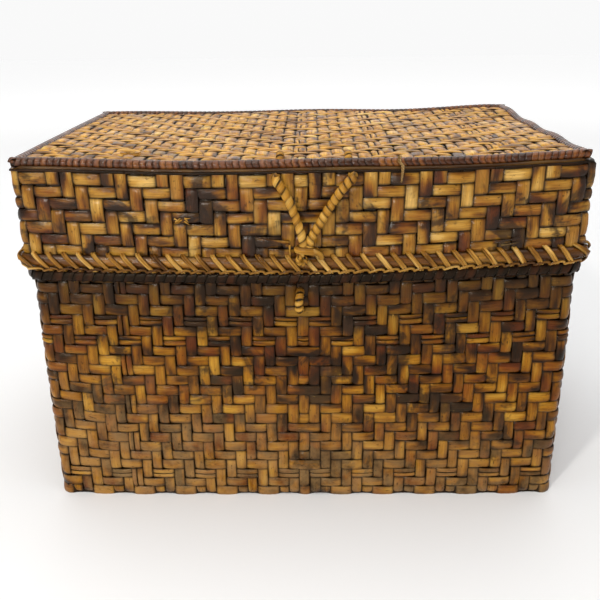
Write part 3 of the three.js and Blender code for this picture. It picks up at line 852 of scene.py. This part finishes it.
def steady_out(points, start):
    """Sideways directions that turn as little as possible along a line."""
    tangents = unit(np.gradient(points, axis=0))
    direction = np.array(start, float)
    out = []
    for tangent in tangents:
        direction = direction - tangent * direction.dot(tangent)
        direction = direction / np.linalg.norm(direction)
        out.append(direction)
    return np.array(out)


def cord(bundle, points, radius, pitch, strands=1, start=(1, 0, 0), lap=0.05, thickness=1.0 * MM):
    """A smooth cord wound with cane."""
    line = smooth_line(points, max(len(points) * 8, 24))
    out = steady_out(line, start)
    inside = radius - thickness * 0.8
    # the core, with a lift of -1 that paints it near black as painted shade in the seams between
    # the turns
    bundle.add(line, out, 2 * inside * 0.97, inside * 0.97, -1.0, ROUND)
    wound(bundle, line, out, inside, inside, pitch, strands, 14, thickness, lap)


def make_staple(material):
    """The loop on the body's front that the hasp was made to catch."""
    low, high = node_box("body_staple")
    radius = (high[0] - low[0]) / 2
    x = (low[0] + high[0]) / 2
    face = -body_high[1]
    tip = low[1] + radius
    top = high[2] - radius
    foot = low[2] + radius
    points = [
        (x + 1.5 * MM, face + sheet, top + 0.5 * MM),
        (x + 0.8 * MM, face - 2.5 * MM, top + 0.3 * MM),
        (x + 0.2 * MM, tip + 1.5 * MM, top - 2.5 * MM),
        (x - 0.4 * MM, tip, (top + foot) / 2),
        (x - 0.2 * MM, tip + 1.5 * MM, foot + 2.5 * MM),
        (x + 0.5 * MM, face - 2.5 * MM, foot - 0.3 * MM),
        (x + 1 * MM, face + sheet, foot - 0.5 * MM),
    ]
    bundle = Bundle()
    line = smooth_line(points, 60)
    banded(bundle, line, radius * 0.8, 6.2 * MM, -0.8 * MM)
    bundle.build("staple_winding", material, "body", ["body_staple"], "gold_cane")


def make_hasp(material):
    """Two cords that hang from the rim and meet in a knot."""
    anchor = box_centre("hasp_anchor_left")
    knot_low, knot_high = node_box("hasp_knot")
    knot = (knot_low + knot_high) / 2
    radius = (knot_high[2] - knot_low[2]) / 2
    turn_y = node_box("hasp_anchor_left")[0][1] + 2 * MM
    for side, way in (("left", -1), ("right", 1)):
        top_x = box_centre(f"hasp_anchor_{side}")[0]
        foot_x = knot[0] + way * radius
        slant = foot_x - top_x
        drop = knot[2] - anchor[2]
        bow = 3.5 * MM * -way
        points = [
            (top_x - slant * 0.03, turn_y + 0.8 * MM, anchor[2] + 1.0 * MM),
            (top_x, turn_y + 0.2 * MM, anchor[2] - 2.0 * MM),
            (top_x + slant * 0.1, turn_y - 1 * MM, anchor[2] - 5 * MM),
            (top_x + slant * 0.35 + bow, turn_y - 1.5 * MM, anchor[2] + drop * 0.32),
            (top_x + slant * 0.68 + bow, turn_y - 2.5 * MM, anchor[2] + drop * 0.62),
            (foot_x - way * 0.5 * MM, knot[1], anchor[2] + drop * 0.86),
            (foot_x - way * 1.5 * MM, knot[1] + 0.5 * MM, knot[2] - 2 * MM),
        ]
        bundle = Bundle()
        line = smooth_line(points, 70)
        turn, lean = (8.4 * MM, -2.2 * MM) if side == "left" else (6.6 * MM, 1.4 * MM)
        banded(bundle, line, radius * 0.84, turn, lean)
        rounded_end(bundle, line, radius * 0.95)
        bundle.build(f"hasp_winding_{side}", material, "hasp", [f"hasp_leg_{side}"], "gold_cane")
    make_knot(material, knot, radius)
    make_tail(material)
    for side in ("left", "right"):
        make_anchor(material, side)


def make_knot(material, knot, radius):
    """A smooth turn of cane round both cords, and its stub end curling down."""
    wide = 9.4 * MM
    deep = radius * 1.25
    points = [
        (
            knot[0] - wide * math.cos(angle), knot[1] - deep * 0.75 * math.sin(angle),
            knot[2] + 0.96 * MM * math.cos(angle),
        )
        for angle in np.linspace(-0.35 * math.pi, 2.2 * math.pi, 15)
    ]
    line = smooth_line(points, 110)
    outward = line - knot
    outward[:, 2] = 0
    bundle = Bundle()
    bundle.add(line, unit(outward), 7.6 * MM, 3.2 * MM, 0.9, ROUND)
    side = knot[0] + wide
    stub = smooth_line([
        (side - 5 * MM, knot[1] - deep * 0.5, knot[2] + 0.5 * MM),
        (side + 0.5 * MM, knot[1] - deep * 0.8, knot[2] - 1 * MM),
        (side + 4.5 * MM, knot[1] - deep * 0.7, knot[2] - 4 * MM),
        (side + 5 * MM, knot[1] - deep * 0.4, knot[2] - 8 * MM),
    ], 24)
    bundle.add(stub, np.tile([0.0, -1.0, 0.0], (len(stub), 1)), 6 * MM, 2.4 * MM, 0.5, ROUND)
    bundle.build("hasp_knot_cane", material, "hasp", ["hasp_knot"], "gold_cane")


def make_tail(material):
    """The small worn eye under the knot, with loose fibres."""
    low, high = node_box("hasp_tail")
    centre = (low + high) / 2
    ring = (high[2] - low[2]) / 2 - 1.8 * MM
    points = [(centre[0] + 1 * MM, centre[1], high[2] + 5 * MM)]
    for angle in np.linspace(0.55 * math.pi, 2.25 * math.pi, 12):
        points.append((
            centre[0] + ring * math.cos(angle), centre[1] - 0.6 * MM * math.sin(angle),
            centre[2] + ring * math.sin(angle),
        ))
    bundle = Bundle()
    cord(bundle, points, 2.5 * MM, 4 * MM, 2, start=(0, 1, 0), thickness=0.7 * MM)
    for _ in range(9):
        start = centre + np.array([rng.uniform(-3, 3), -2, rng.uniform(-3, 4)]) * MM
        way = (rng.uniform(-1, 1), -0.5, rng.uniform(-1, 0.4))
        sliver(bundle, start, way, rng.uniform(4, 9) * MM, 0.9 * MM)
    bundle.build("hasp_tail_cane", material, "hasp", ["hasp_tail"], "gold_cane")


def sliver(bundle, start, way, length, width):
    """A torn fibre: thin, tapering and curled a little upwards."""
    way = np.array(way) / np.linalg.norm(way)
    t = np.linspace(0, 1, 6)[:, None]
    points = np.array(start) + way * length * t + np.array([0, 0, 0.12]) * length * t**2
    taper = width * (1 - 0.85 * t[:, 0])
    bundle.add(points, steady_out(points, (0.1, -0.9, 0.3)), taper, 0.35 * MM, 1.0)


def make_frays(material, stray_material):
    """Torn ends of cane that stand out of the lid wall and the lid's top."""
    face = -wall_high[1]
    edge = wall_low[2]
    torn_wall = np.array([-118 * MM, face - 1.2 * MM, edge + 52.55 * MM])
    torn_top = np.array([-176 * MM, -138 * MM, panel_high[2] + 0.5 * MM])
    tear = Bundle()
    for _ in range(7):
        start = torn_wall + np.array([rng.uniform(-8, 6), 0, rng.uniform(-3, 3)]) * MM
        way = (rng.uniform(-1, 1), -0.25, rng.uniform(-0.5, 0.7))
        sliver(tear, start, way, rng.uniform(5, 10) * MM, 2.2 * MM)
    by_the_knot = (-12 * MM, face - 2.8 * MM, edge + 27.05 * MM)
    sliver(tear, by_the_knot, (0.02, -0.05, -1), 15 * MM, 2.8 * MM)
    for _ in range(5):
        start = torn_top + np.array([rng.uniform(-6, 6), rng.uniform(-3, 3), 0]) * MM
        way = (rng.uniform(0.2, 1), rng.uniform(-0.3, 0.3), 0.06)
        sliver(tear, start, way, rng.uniform(8, 13) * MM, 4.5 * MM)
    tear.build("lid_torn_cane", material, "lid", (), "gold_cane")
    # strips sprung out of the wall, in mm: X, proud of the wall, above its edge, length, width
    strays = [
        (188, 2.6, 23.05, (1, -0.08, 0.05), 27, 3.5),
        (196, 2.6, 19.55, (1, -0.1, 0.02), 18, 3),
        (-12, 3.2, 29.55, (-1, -0.06, 0.08), 34, 4),
    ]
    stray = Bundle()
    for x, proud, above, way, length, width in strays:
        start = (x * MM, face - proud * MM, edge + above * MM)
        sliver(stray, start, way, length * MM, width * MM)
    stray.build("lid_stray_ends", stray_material, "lid", (), "lid_weave")


def make_anchor(material, side):
    """A small loop out of the lid wall that one cord of the hasp turns in."""
    low, high = node_box(f"hasp_anchor_{side}")
    radius = 1.2 * MM
    middle = (low[0] + high[0]) / 2
    half = 2.6 * MM
    x0, x1 = middle - half, middle + half
    y0, y1 = low[1] + radius, high[1]
    z = high[2] - radius
    points = [
        (x0, y1, z), (x0, y0 + 5 * MM, z), (x0 + 1.5 * MM, y0 + 0.6 * MM, z),
        (middle, y0, z), (x1 - 1.5 * MM, y0 + 0.6 * MM, z), (x1, y0 + 5 * MM, z), (x1, y1, z),
    ]
    bundle = Bundle()
    cord(bundle, points, radius, 4 * MM, start=(0, 0, 1), thickness=0.6 * MM)
    replaced = [f"hasp_anchor_{side}"]
    bundle.build(f"hasp_anchor_cane_{side}", material, "lid", replaced, "gold_cane")


def make_top_ties(material):
    """Where each hasp cord comes up behind the rim rod and dives back into the lid."""
    for side in ("left", "right"):
        low, high = node_box(f"top_tie_{side}")
        x = (low[0] + high[0]) / 2
        points = [
            (x, low[1] - 11 * MM, panel_low[2]),
            (x, low[1] - 8 * MM, panel_high[2] + 0.2 * MM),
            (x, low[1] - 2 * MM, high[2] - 1 * MM),
            (x + 0.5 * MM, high[1] + 1 * MM, panel_high[2] + 0.5 * MM),
            (x + 0.5 * MM, high[1] + 4 * MM, panel_low[2] - 1 * MM),
        ]
        line = smooth_line(points, 30)
        bundle = Bundle()
        banded(bundle, line, 3.2 * MM, 4.6 * MM, 0.6 * MM)
        bundle.build(f"top_tie_cane_{side}", material, "lid", [f"top_tie_{side}"], "gold_cane")


hinge_cord_radius = 2.2 * MM


def make_hinges(material):
    """A bar of cane on the lid turning in an eye of cane on the body, left and right."""
    for side in ("left", "right"):
        low, high = node_box(f"hinge_bar_{side}")
        radius = hinge_cord_radius
        x = (low[0] + high[0]) / 2
        half = (high[0] - low[0]) / 2 - radius
        axis_y, axis_z = high[1] - radius, low[2] + radius
        top = high[2] - radius
        # share of the bar's half width, then Y and Z
        leg = [
            (1.0, low[1], top), (1.0, low[1] + 5 * MM, top),
            (1.0, low[1] + 10 * MM, top - 0.5 * MM),
            (1.0, axis_y - 4 * MM, top - 7 * MM), (1.0, axis_y - 3.5 * MM, top - 20 * MM),
            (1.0, axis_y - 1.5 * MM, axis_z + 4.5 * MM),
            (0.78, axis_y - 0.2 * MM, axis_z + 0.6 * MM), (0.5, axis_y, axis_z),
            (0.22, axis_y, axis_z),
        ]
        points = [(x - half * share, y, z) for share, y, z in leg]
        points += [(x + half * share, y, z) for share, y, z in reversed(leg)]
        bundle = Bundle()
        cord(bundle, points, radius, 4.5 * MM, 2, thickness=0.6 * MM)
        replaced = [f"hinge_bar_{side}"]
        bundle.build(f"hinge_bar_cane_{side}", material, "lid", replaced, "gold_cane", False)
        make_hinge_eye(material, side, axis_y, axis_z)


def make_hinge_eye(material, side, axis_y, axis_z):
    """The eye of a hinge: out of the body wall, over the bar and back in."""
    low, high = node_box(f"hinge_eye_{side}")
    radius = hinge_cord_radius
    x = (low[0] + high[0]) / 2
    eye = high[2] - radius - axis_z
    foot = low[2] + radius
    upper = foot + 13 * MM
    inside = low[1]
    points = [
        (x, inside, upper), (x, body_high[1] + 0.9 * MM, upper),
        (x, axis_y - 10 * MM, upper + 1.5 * MM),
        (x, axis_y - eye + 0.6 * MM, axis_z - 2 * MM), (x, axis_y - eye * 0.7, axis_z + eye * 0.75),
        (x, axis_y, axis_z + eye), (x, axis_y + eye * 0.7, axis_z + eye * 0.75),
        (x, axis_y + eye, axis_z), (x, axis_y + eye - 1 * MM, axis_z - 9 * MM),
        (x, axis_y - 9 * MM, foot + 1 * MM), (x, body_high[1] + 0.9 * MM, foot), (x, inside, foot),
    ]
    bundle = Bundle()
    cord(bundle, points, radius, 4.5 * MM, 2, thickness=0.6 * MM)
    replaced = [f"hinge_eye_{side}"]
    bundle.build(f"hinge_eye_cane_{side}", material, "body", replaced, "gold_cane", False)


def make_twine(material):
    """Two turns of thin twine tied over the front rod."""
    low, high = node_box("rim_twine")
    x = (low[0] + high[0]) / 2
    bundle = Bundle()
    for shift in (-0.8 * MM, 0.9 * MM):
        points = [
            (x + 1 * MM + shift, high[1] - 1 * MM, trunk_top - 2 * MM),
            (x + 1 * MM + shift, -half_depth + rod_radius, trunk_top + 0.8 * MM),
            (x + 0.5 * MM + shift, -half_depth + 1 * MM, trunk_top - 1 * MM),
            (x + shift, -half_depth - 0.8 * MM, trunk_top - rod_radius),
            (x - 0.5 * MM + shift * 0.5, low[1] + 1.2 * MM, trunk_top - 2.2 * rod_radius),
            (x - 1 * MM, low[1] + 1.4 * MM, low[2] + 1 * MM),
            (x - 1 * MM, low[1] + 6 * MM, low[2] - 0.5 * MM),
        ]
        cord(bundle, points, 0.9 * MM, 1.6 * MM, 2, thickness=0.3 * MM)
    bundle.build("rim_twine_cord", material, "lid", ["rim_twine"], "twine")


# ---- materials ----


class Graph:
    """Small helpers for one material's node tree."""

    def __init__(self, name):
        self.material = bpy.data.materials.new(name)
        self.material.use_nodes = True
        self.tree = self.material.node_tree
        self.tree.nodes.clear()
        self.shader = self.node("BsdfPrincipled")
        output = self.node("OutputMaterial")
        self.put(self.shader.outputs["BSDF"], output.inputs["Surface"])

    def node(self, kind, inputs=(), **settings):
        """A node with its settings, and its first inputs filled in order."""
        node = self.tree.nodes.new("ShaderNode" + kind)
        for name, value in settings.items():
            setattr(node, name, value)
        for value, socket in zip(inputs, node.inputs):
            self.put(value, socket)
        return node

    def put(self, value, socket):
        if isinstance(value, bpy.types.NodeSocket):
            self.tree.links.new(value, socket)
        else:
            socket.default_value = value

    def attribute(self, name):
        return self.node("Attribute", attribute_name=name).outputs

    def math(self, operation, *values):
        return self.node("Math", values, operation=operation).outputs[0]

    def times(self, first, second):
        return self.math("MULTIPLY", first, second)

    def plus(self, first, second):
        return self.math("ADD", first, second)

    def blend(self, first, second, share):
        """Two values mixed, with this share of the second."""
        return self.plus(self.times(first, 1 - share), self.times(second, share))

    def split(self, vector):
        return self.node("SeparateXYZ", [vector]).outputs

    def vector(self, x, y, z):
        return self.node("CombineXYZ", [x, y, z]).outputs[0]

    def noise(self, vector, scale=1.0, detail=3.0, roughness=0.55, distortion=0.0):
        node = self.node("TexNoise")
        self.put(vector, node.inputs["Vector"])
        node.inputs["Scale"].default_value = scale
        node.inputs["Detail"].default_value = detail
        node.inputs["Roughness"].default_value = roughness
        node.inputs["Distortion"].default_value = distortion
        return node.outputs["Fac"]

    def spread(self, value, low, high, to_low=0.0, to_high=1.0):
        """A value taken smoothly from one range to another."""
        limits = [value, low, high, to_low, to_high]
        return self.node("MapRange", limits, interpolation_type="SMOOTHSTEP").outputs[0]

    def ramp(self, value, colours):
        """Colours at even places along the value from 0 to 1."""
        node = self.node("ValToRGB", [value])
        elements = node.color_ramp.elements
        while len(elements) < len(colours):
            elements.new(0.5)
        for i, colour in enumerate(colours):
            elements[i].position = i / (len(colours) - 1)
            elements[i].color = srgb(colour)
        return node.outputs[0]

    def mix(self, share, first, second, blend="MIX"):
        node = self.node("Mix", data_type="RGBA", blend_type=blend)
        for value, socket in zip((share, first, second), (0, 6, 7)):
            self.put(value, node.inputs[socket])
        return node.outputs[2]

    def place(self):
        return self.node("TexCoord").outputs["Object"]

    def bump(self, height, strength, distance):
        node = self.node("Bump")
        node.inputs["Strength"].default_value = strength
        node.inputs["Distance"].default_value = distance
        self.put(height, node.inputs["Height"])
        return node.outputs[0]


def srgb(text):
    """A colour written as six hex digits, in linear light, with full cover."""
    values = [int(text[i:i + 2], 16) / 255 for i in (0, 2, 4)]
    return (*(v / 12.92 if v <= 0.04045 else ((v + 0.055) / 1.055) ** 2.4 for v in values), 1)


def cane(name, tones, burnt, grey, coat=0.14, rough=(0.22, 0.5), grain=0.35,
         lid_overhang_shade=0.0, dust_and_floor_sheen=0.0, edge_dirt_and_shade=0.92, reddish=0.0):
    """Varnished split cane: long fibres, tones that change along each strip, scorched and
    greyed patches, darkening along the edges and where a strip dives under (dirt in the crevices
    plus painted shade in the gaps), and a thin varnish coat. Arguments: the lid's overhang shade
    darkens the body under the lid's edge with painted shade, the dust and floor sheen pales it
    towards the floor with dust and a painted reflection of the floor, and reddish turns some of
    its lengths red."""
    g = Graph(name)
    along, across, seed = g.split(g.attribute("fibre")["Vector"])
    lift = g.attribute("lift")["Fac"]
    own = g.times(seed, 61.0)  # sets each strip's noise apart from its neighbours'
    from_middle = g.math("ABSOLUTE", across)
    place = g.place()
    height = g.split(place)[2]

    def drift(long, third, detail, roughness=0.55):
        """A value that changes slowly along the strip."""
        return g.noise(g.vector(g.times(along, long), own, third), 1.0, detail, roughness)

    def fibre(long, wide, detail, roughness=0.55):
        """A value stretched out along the fibres."""
        vector = g.vector(g.times(along, long), g.times(across, wide), own)
        return g.noise(vector, 1.0, detail, roughness)

    def paint(share, colour, text):
        """The colour with this share of a plain one over it."""
        return g.mix(share, colour, srgb(text))

    # the strip's own tone and hue
    slow = drift(15.0, g.times(across, 0.3), 2.0)
    quick = drift(31.0, g.times(across, 0.9), 3.0)
    colour = g.ramp(g.spread(g.blend(slow, quick, 0.24), 0.32, 0.68), tones.split())
    hue = drift(17.0, 21.0, 2.0)
    colour = paint(g.times(g.spread(hue, 0.5, 0.62), reddish), colour, "6E300A")
    # fibres, and a painted highlight: lighter on the crown of the strip, darker towards its edges
    fibres = fibre(26.0, 5.0, 5.0, 0.62)
    hair = fibre(70.0, 18.0, 3.0, 0.6)
    streak = g.blend(fibres, hair, 0.4)
    crown = g.spread(from_middle, 0.1, 0.8, 1.1, 0.82)
    shade = g.times(g.spread(streak, 0.34, 0.66, 0.66, 1.2), crown)
    colour = g.mix(1.0, colour, g.vector(shade, shade, shade), "MULTIPLY")
    # scorched and weathered patches
    stain = g.noise(place, 21.0, 4.0, 0.65, 0.6)
    stain = g.plus(stain, g.times(g.math("SUBTRACT", streak, 0.5), 0.3))
    colour = paint(g.times(g.spread(stain, 0.53, 0.63), burnt), colour, "1A0E08")
    old = g.plus(drift(24.0, 9.0, 3.0, 0.6), g.times(hair, 0.2))
    colour = paint(g.times(g.spread(old, 0.7, 0.78), grey), colour, "463022")
    # painted shade: the body darkens towards its rim, where the lid's overhang shades it
    if lid_overhang_shade:
        upper = g.spread(height, 0.6 * rim_height, rim_height)
        colour = paint(g.times(upper, lid_overhang_shade), colour, "20130A")
    # dust towards the floor, mixed with a painted reflection of the pale floor on the lower wall,
    # paler on the left
    if dust_and_floor_sheen:
        mottle = g.spread(g.noise(place, 28.0, 5.0, 0.65), 0.3, 0.62)
        slope = g.plus(height, g.times(g.split(place)[0], 0.16))
        dust_and_sheen_share = g.spread(slope, 0.62 * rim_height, 0.0, 0.0, dust_and_floor_sheen)
        colour = paint(g.times(dust_and_sheen_share, mottle), colour, "AC8654")
    # dirt and painted shade: darker along the edges and where the strip dives under, as dirt in the
    # crevices plus painted shade in the gaps between strips; a lift of -1 paints cores near black
    edge = g.spread(from_middle, 0.72, 0.98, 0.0, edge_dirt_and_shade)
    under = g.spread(g.times(lift, -1.0), -0.8, 0.1, 0.0, 0.95)
    colour = paint(g.math("MAXIMUM", edge, under), colour, "0C0603")
    # chipped varnish and burnt specks
    chips = fibre(90.0, 3.0, 6.0, 0.7)
    colour = paint(g.times(g.spread(chips, 0.67, 0.72), 0.5), colour, "B99348")
    specks = fibre(160.0, 2.2, 4.0, 0.7)
    colour = paint(g.times(g.spread(specks, 0.6, 0.67), 0.8 * burnt), colour, "1E0F06")
    g.put(colour, g.shader.inputs["Base Color"])
    smear = g.noise(place, 30.0, 4.0, 0.6)
    g.put(g.spread(g.blend(smear, streak, 0.4), 0.35, 0.65, *rough), g.shader.inputs["Roughness"])
    dents = fibre(150.0, 1.3, 3.0)
    surface = g.plus(g.times(streak, grain), g.times(dents, 0.5))
    bumped = g.bump(surface, 0.6, 1.2 * MM)
    g.put(bumped, g.shader.inputs["Normal"])
    g.put(bumped, g.shader.inputs["Coat Normal"])
    g.shader.inputs["Coat Weight"].default_value = coat
    g.shader.inputs["Coat Roughness"].default_value = 0.15
    g.shader.inputs["Specular IOR Level"].default_value = 0.13
    g.shader.inputs["Specular Tint"].default_value = (1.0, 0.78, 0.5, 1)
    return g.material


def make_materials():
    """Every look, each with its tones from one end of the strips' range to the other."""
    return {
        "body": cane(
            "body_cane", "0E0602 2C1505 563006 764608 8A580E 986614 B0802A",
            burnt=0.85, grey=0.4, coat=0.1, lid_overhang_shade=0.8, dust_and_floor_sheen=0.52, reddish=0.55,
        ),
        "lid": cane(
            "lid_cane", "180B05 3C200A 70440E 8C5E1A 9C6F26 AA7E34 C29A52",
            burnt=0.85, grey=0.4, coat=0.26, rough=(0.14, 0.42), reddish=0.4,
        ),
        "top": cane(
            "top_cane", "4A2C10 90601E BC842C D09C3C 94602A BC8A34 E2B75A",
            burnt=0.5, grey=0.25, coat=0.1, rough=(0.3, 0.55),
        ),
        "red": cane(
            "rim_cane", "2A1206 44200A 623210 7C4A1C",
            burnt=0.3, grey=0.0, coat=0.6, grain=0.3, edge_dirt_and_shade=0.35,
        ),
        "dark": cane(
            "dark_hoop_cane", "080402 1A0C05 361A0A", burnt=0.2, grey=0.0, coat=0.05, grain=0.2,
        ),
        "hoop": cane(
            "hoop_cane", "3A1F0A 663C10 8A5A1E A67830",
            burnt=0.6, grey=0.2, coat=0.3, edge_dirt_and_shade=0.7,
        ),
        "pale": cane(
            "lashing_cane", "4A2A0C 8A5C1E B48438 D8AC60",
            burnt=0.1, grey=0.0, grain=0.25, edge_dirt_and_shade=0.75,
        ),
        "gold": cane(
            "cord_cane", "7C5218 9C6C22 AE7E30 C4984A",
            burnt=0.1, grey=0.0, grain=0.25, edge_dirt_and_shade=0.7,
        ),
        "twine": cane(
            "twine_fibre", "5A4020 8D6F45 A88A5C",
            burnt=0.0, grey=0.0, coat=0.0, rough=(0.7, 0.9), grain=0.5,
        ),
    }


# ---- floor, light and camera ----


def fade(tree, value, low, high, to_low, to_high, kind="LINEAR"):
    """A value in a node tree taken from one range to another."""
    node = tree.nodes.new("ShaderNodeMapRange")
    node.interpolation_type = kind
    tree.links.new(value, node.inputs["Value"])
    for socket, limit in zip(node.inputs[1:5], (low, high, to_low, to_high)):
        socket.default_value = limit
    return node.outputs[0]


def make_floor():
    """A pale floor that glows a little far from the trunk, as the photographer's backdrop does."""
    size = 8
    corners = [(-size, -size, 0), (size, -size, 0), (size, size, 0), (-size, size, 0)]
    mesh = bpy.data.meshes.new("floor")
    mesh.from_pydata(corners, [], [(0, 1, 2, 3)])
    floor = bpy.data.objects.new("floor", mesh)
    bpy.context.scene.collection.objects.link(floor)
    paint = bpy.data.materials.new("floor_paint")
    paint.use_nodes = True
    tree = paint.node_tree
    shader = tree.nodes["Principled BSDF"]
    shader.inputs["Base Color"].default_value = (0.86, 0.86, 0.86, 1)
    shader.inputs["Roughness"].default_value = 0.9
    shader.inputs["Emission Color"].default_value = (1, 1, 1, 1)
    distance = tree.nodes.new("ShaderNodeVectorMath")
    distance.operation = "LENGTH"
    place = tree.nodes.new("ShaderNodeTexCoord").outputs["Object"]
    tree.links.new(place, distance.inputs[0])
    glow = fade(tree, distance.outputs["Value"], 0.6, 4.0, 0.0, 0.6, "SMOOTHSTEP")
    tree.links.new(glow, shader.inputs["Emission Strength"])
    mesh.materials.append(paint)


def make_sky():
    """White light from all round, brighter near the horizon than above."""
    world = bpy.data.worlds.new("studio")
    bpy.context.scene.world = world
    world.use_nodes = True
    tree = world.node_tree
    background = tree.nodes["Background"]
    background.inputs["Color"].default_value = (1, 1, 1, 1)
    parts = tree.nodes.new("ShaderNodeSeparateXYZ")
    way = tree.nodes.new("ShaderNodeTexCoord").outputs["Generated"]
    tree.links.new(way, parts.inputs[0])
    strength = fade(tree, parts.outputs[2], 0.08, 0.4, 0.95, 0.35)
    tree.links.new(strength, background.inputs["Strength"])
    bpy.context.scene.view_settings.view_transform = "Standard"


def add_softbox(name, place, aim, size, power, tint=(1, 1, 1)):
    """A rectangular lamp at a place, turned towards what it lights."""
    light = bpy.data.lights.new(name, "AREA")
    light.shape = "RECTANGLE"
    light.size, light.size_y = size
    light.energy = power
    light.color = tint
    lamp = bpy.data.objects.new(name, light)
    bpy.context.scene.collection.objects.link(lamp)
    lamp.location = place
    lamp.rotation_euler = (Vector(aim) - Vector(place)).to_track_quat("-Z", "Y").to_euler()


def make_lights():
    """A wide lamp above, a window behind, and two small lamps in front for glints."""
    middle = (0, 0, trunk_top / 2)
    add_softbox("ceiling", (0, 0.2, 2.4), (0, 0.2, 0), (3.0, 3.0), 52)
    add_softbox("key", (-0.8, -1.5, 1.7), middle, (0.15, 0.13), 16, (1.0, 0.97, 0.92))
    add_softbox("front", (-0.55, -2.0, 0.6), middle, (0.26, 0.06), 10)
    add_softbox("window", (0, 1.8, 1.1), (0, 0, trunk_top), (2.2, 0.5), 6, (0.95, 0.97, 1.0))


def make_camera():
    """The camera stands a little over a length and a half in front, looking down."""
    place = Vector((0.0132, -0.8997, 0.5205))
    below_level = 21.27  # degrees
    data = bpy.data.cameras.new("camera")
    data.sensor_width = 36
    data.lens = 45
    camera = bpy.data.objects.new("camera", data)
    bpy.context.scene.collection.objects.link(camera)
    swing = Matrix.Rotation(math.radians(1.26), 4, "Z")
    tip = Matrix.Rotation(math.radians(90 - below_level), 4, "X")
    roll = Matrix.Rotation(math.radians(-0.76), 4, "Z")
    camera.matrix_world = Matrix.Translation(place) @ swing @ tip @ roll
    bpy.context.scene.camera = camera


make_floor()
make_sky()
make_lights()
make_camera()
looks = make_materials()
make_body(looks["body"])
make_body_hoop(looks["dark"])
make_half_round("body_inner_hoop", "body_inner_cane", looks["hoop"], "body", False, "hoop_cane")
make_staple(looks["gold"])
make_lid_wall(looks["lid"])
make_lid_panel(looks["top"])
make_rim_rods(looks["red"])
# the band takes the near-black hoop cane, as painted shade under the rods
make_band(looks["dark"])
make_corner_hoop(looks["hoop"])
make_half_round("lid_outer_hoop", "lid_outer_cane", looks["hoop"], "lid", True, "hoop_cane")
make_half_round("lid_inner_hoop", "lid_inner_cane", looks["hoop"], "lid", False, "hoop_cane")
make_lashing(looks["pale"])
make_hasp(looks["gold"])
make_top_ties(looks["gold"])
make_hinges(looks["gold"])
make_twine(looks["twine"])
make_frays(looks["gold"], looks["lid"])
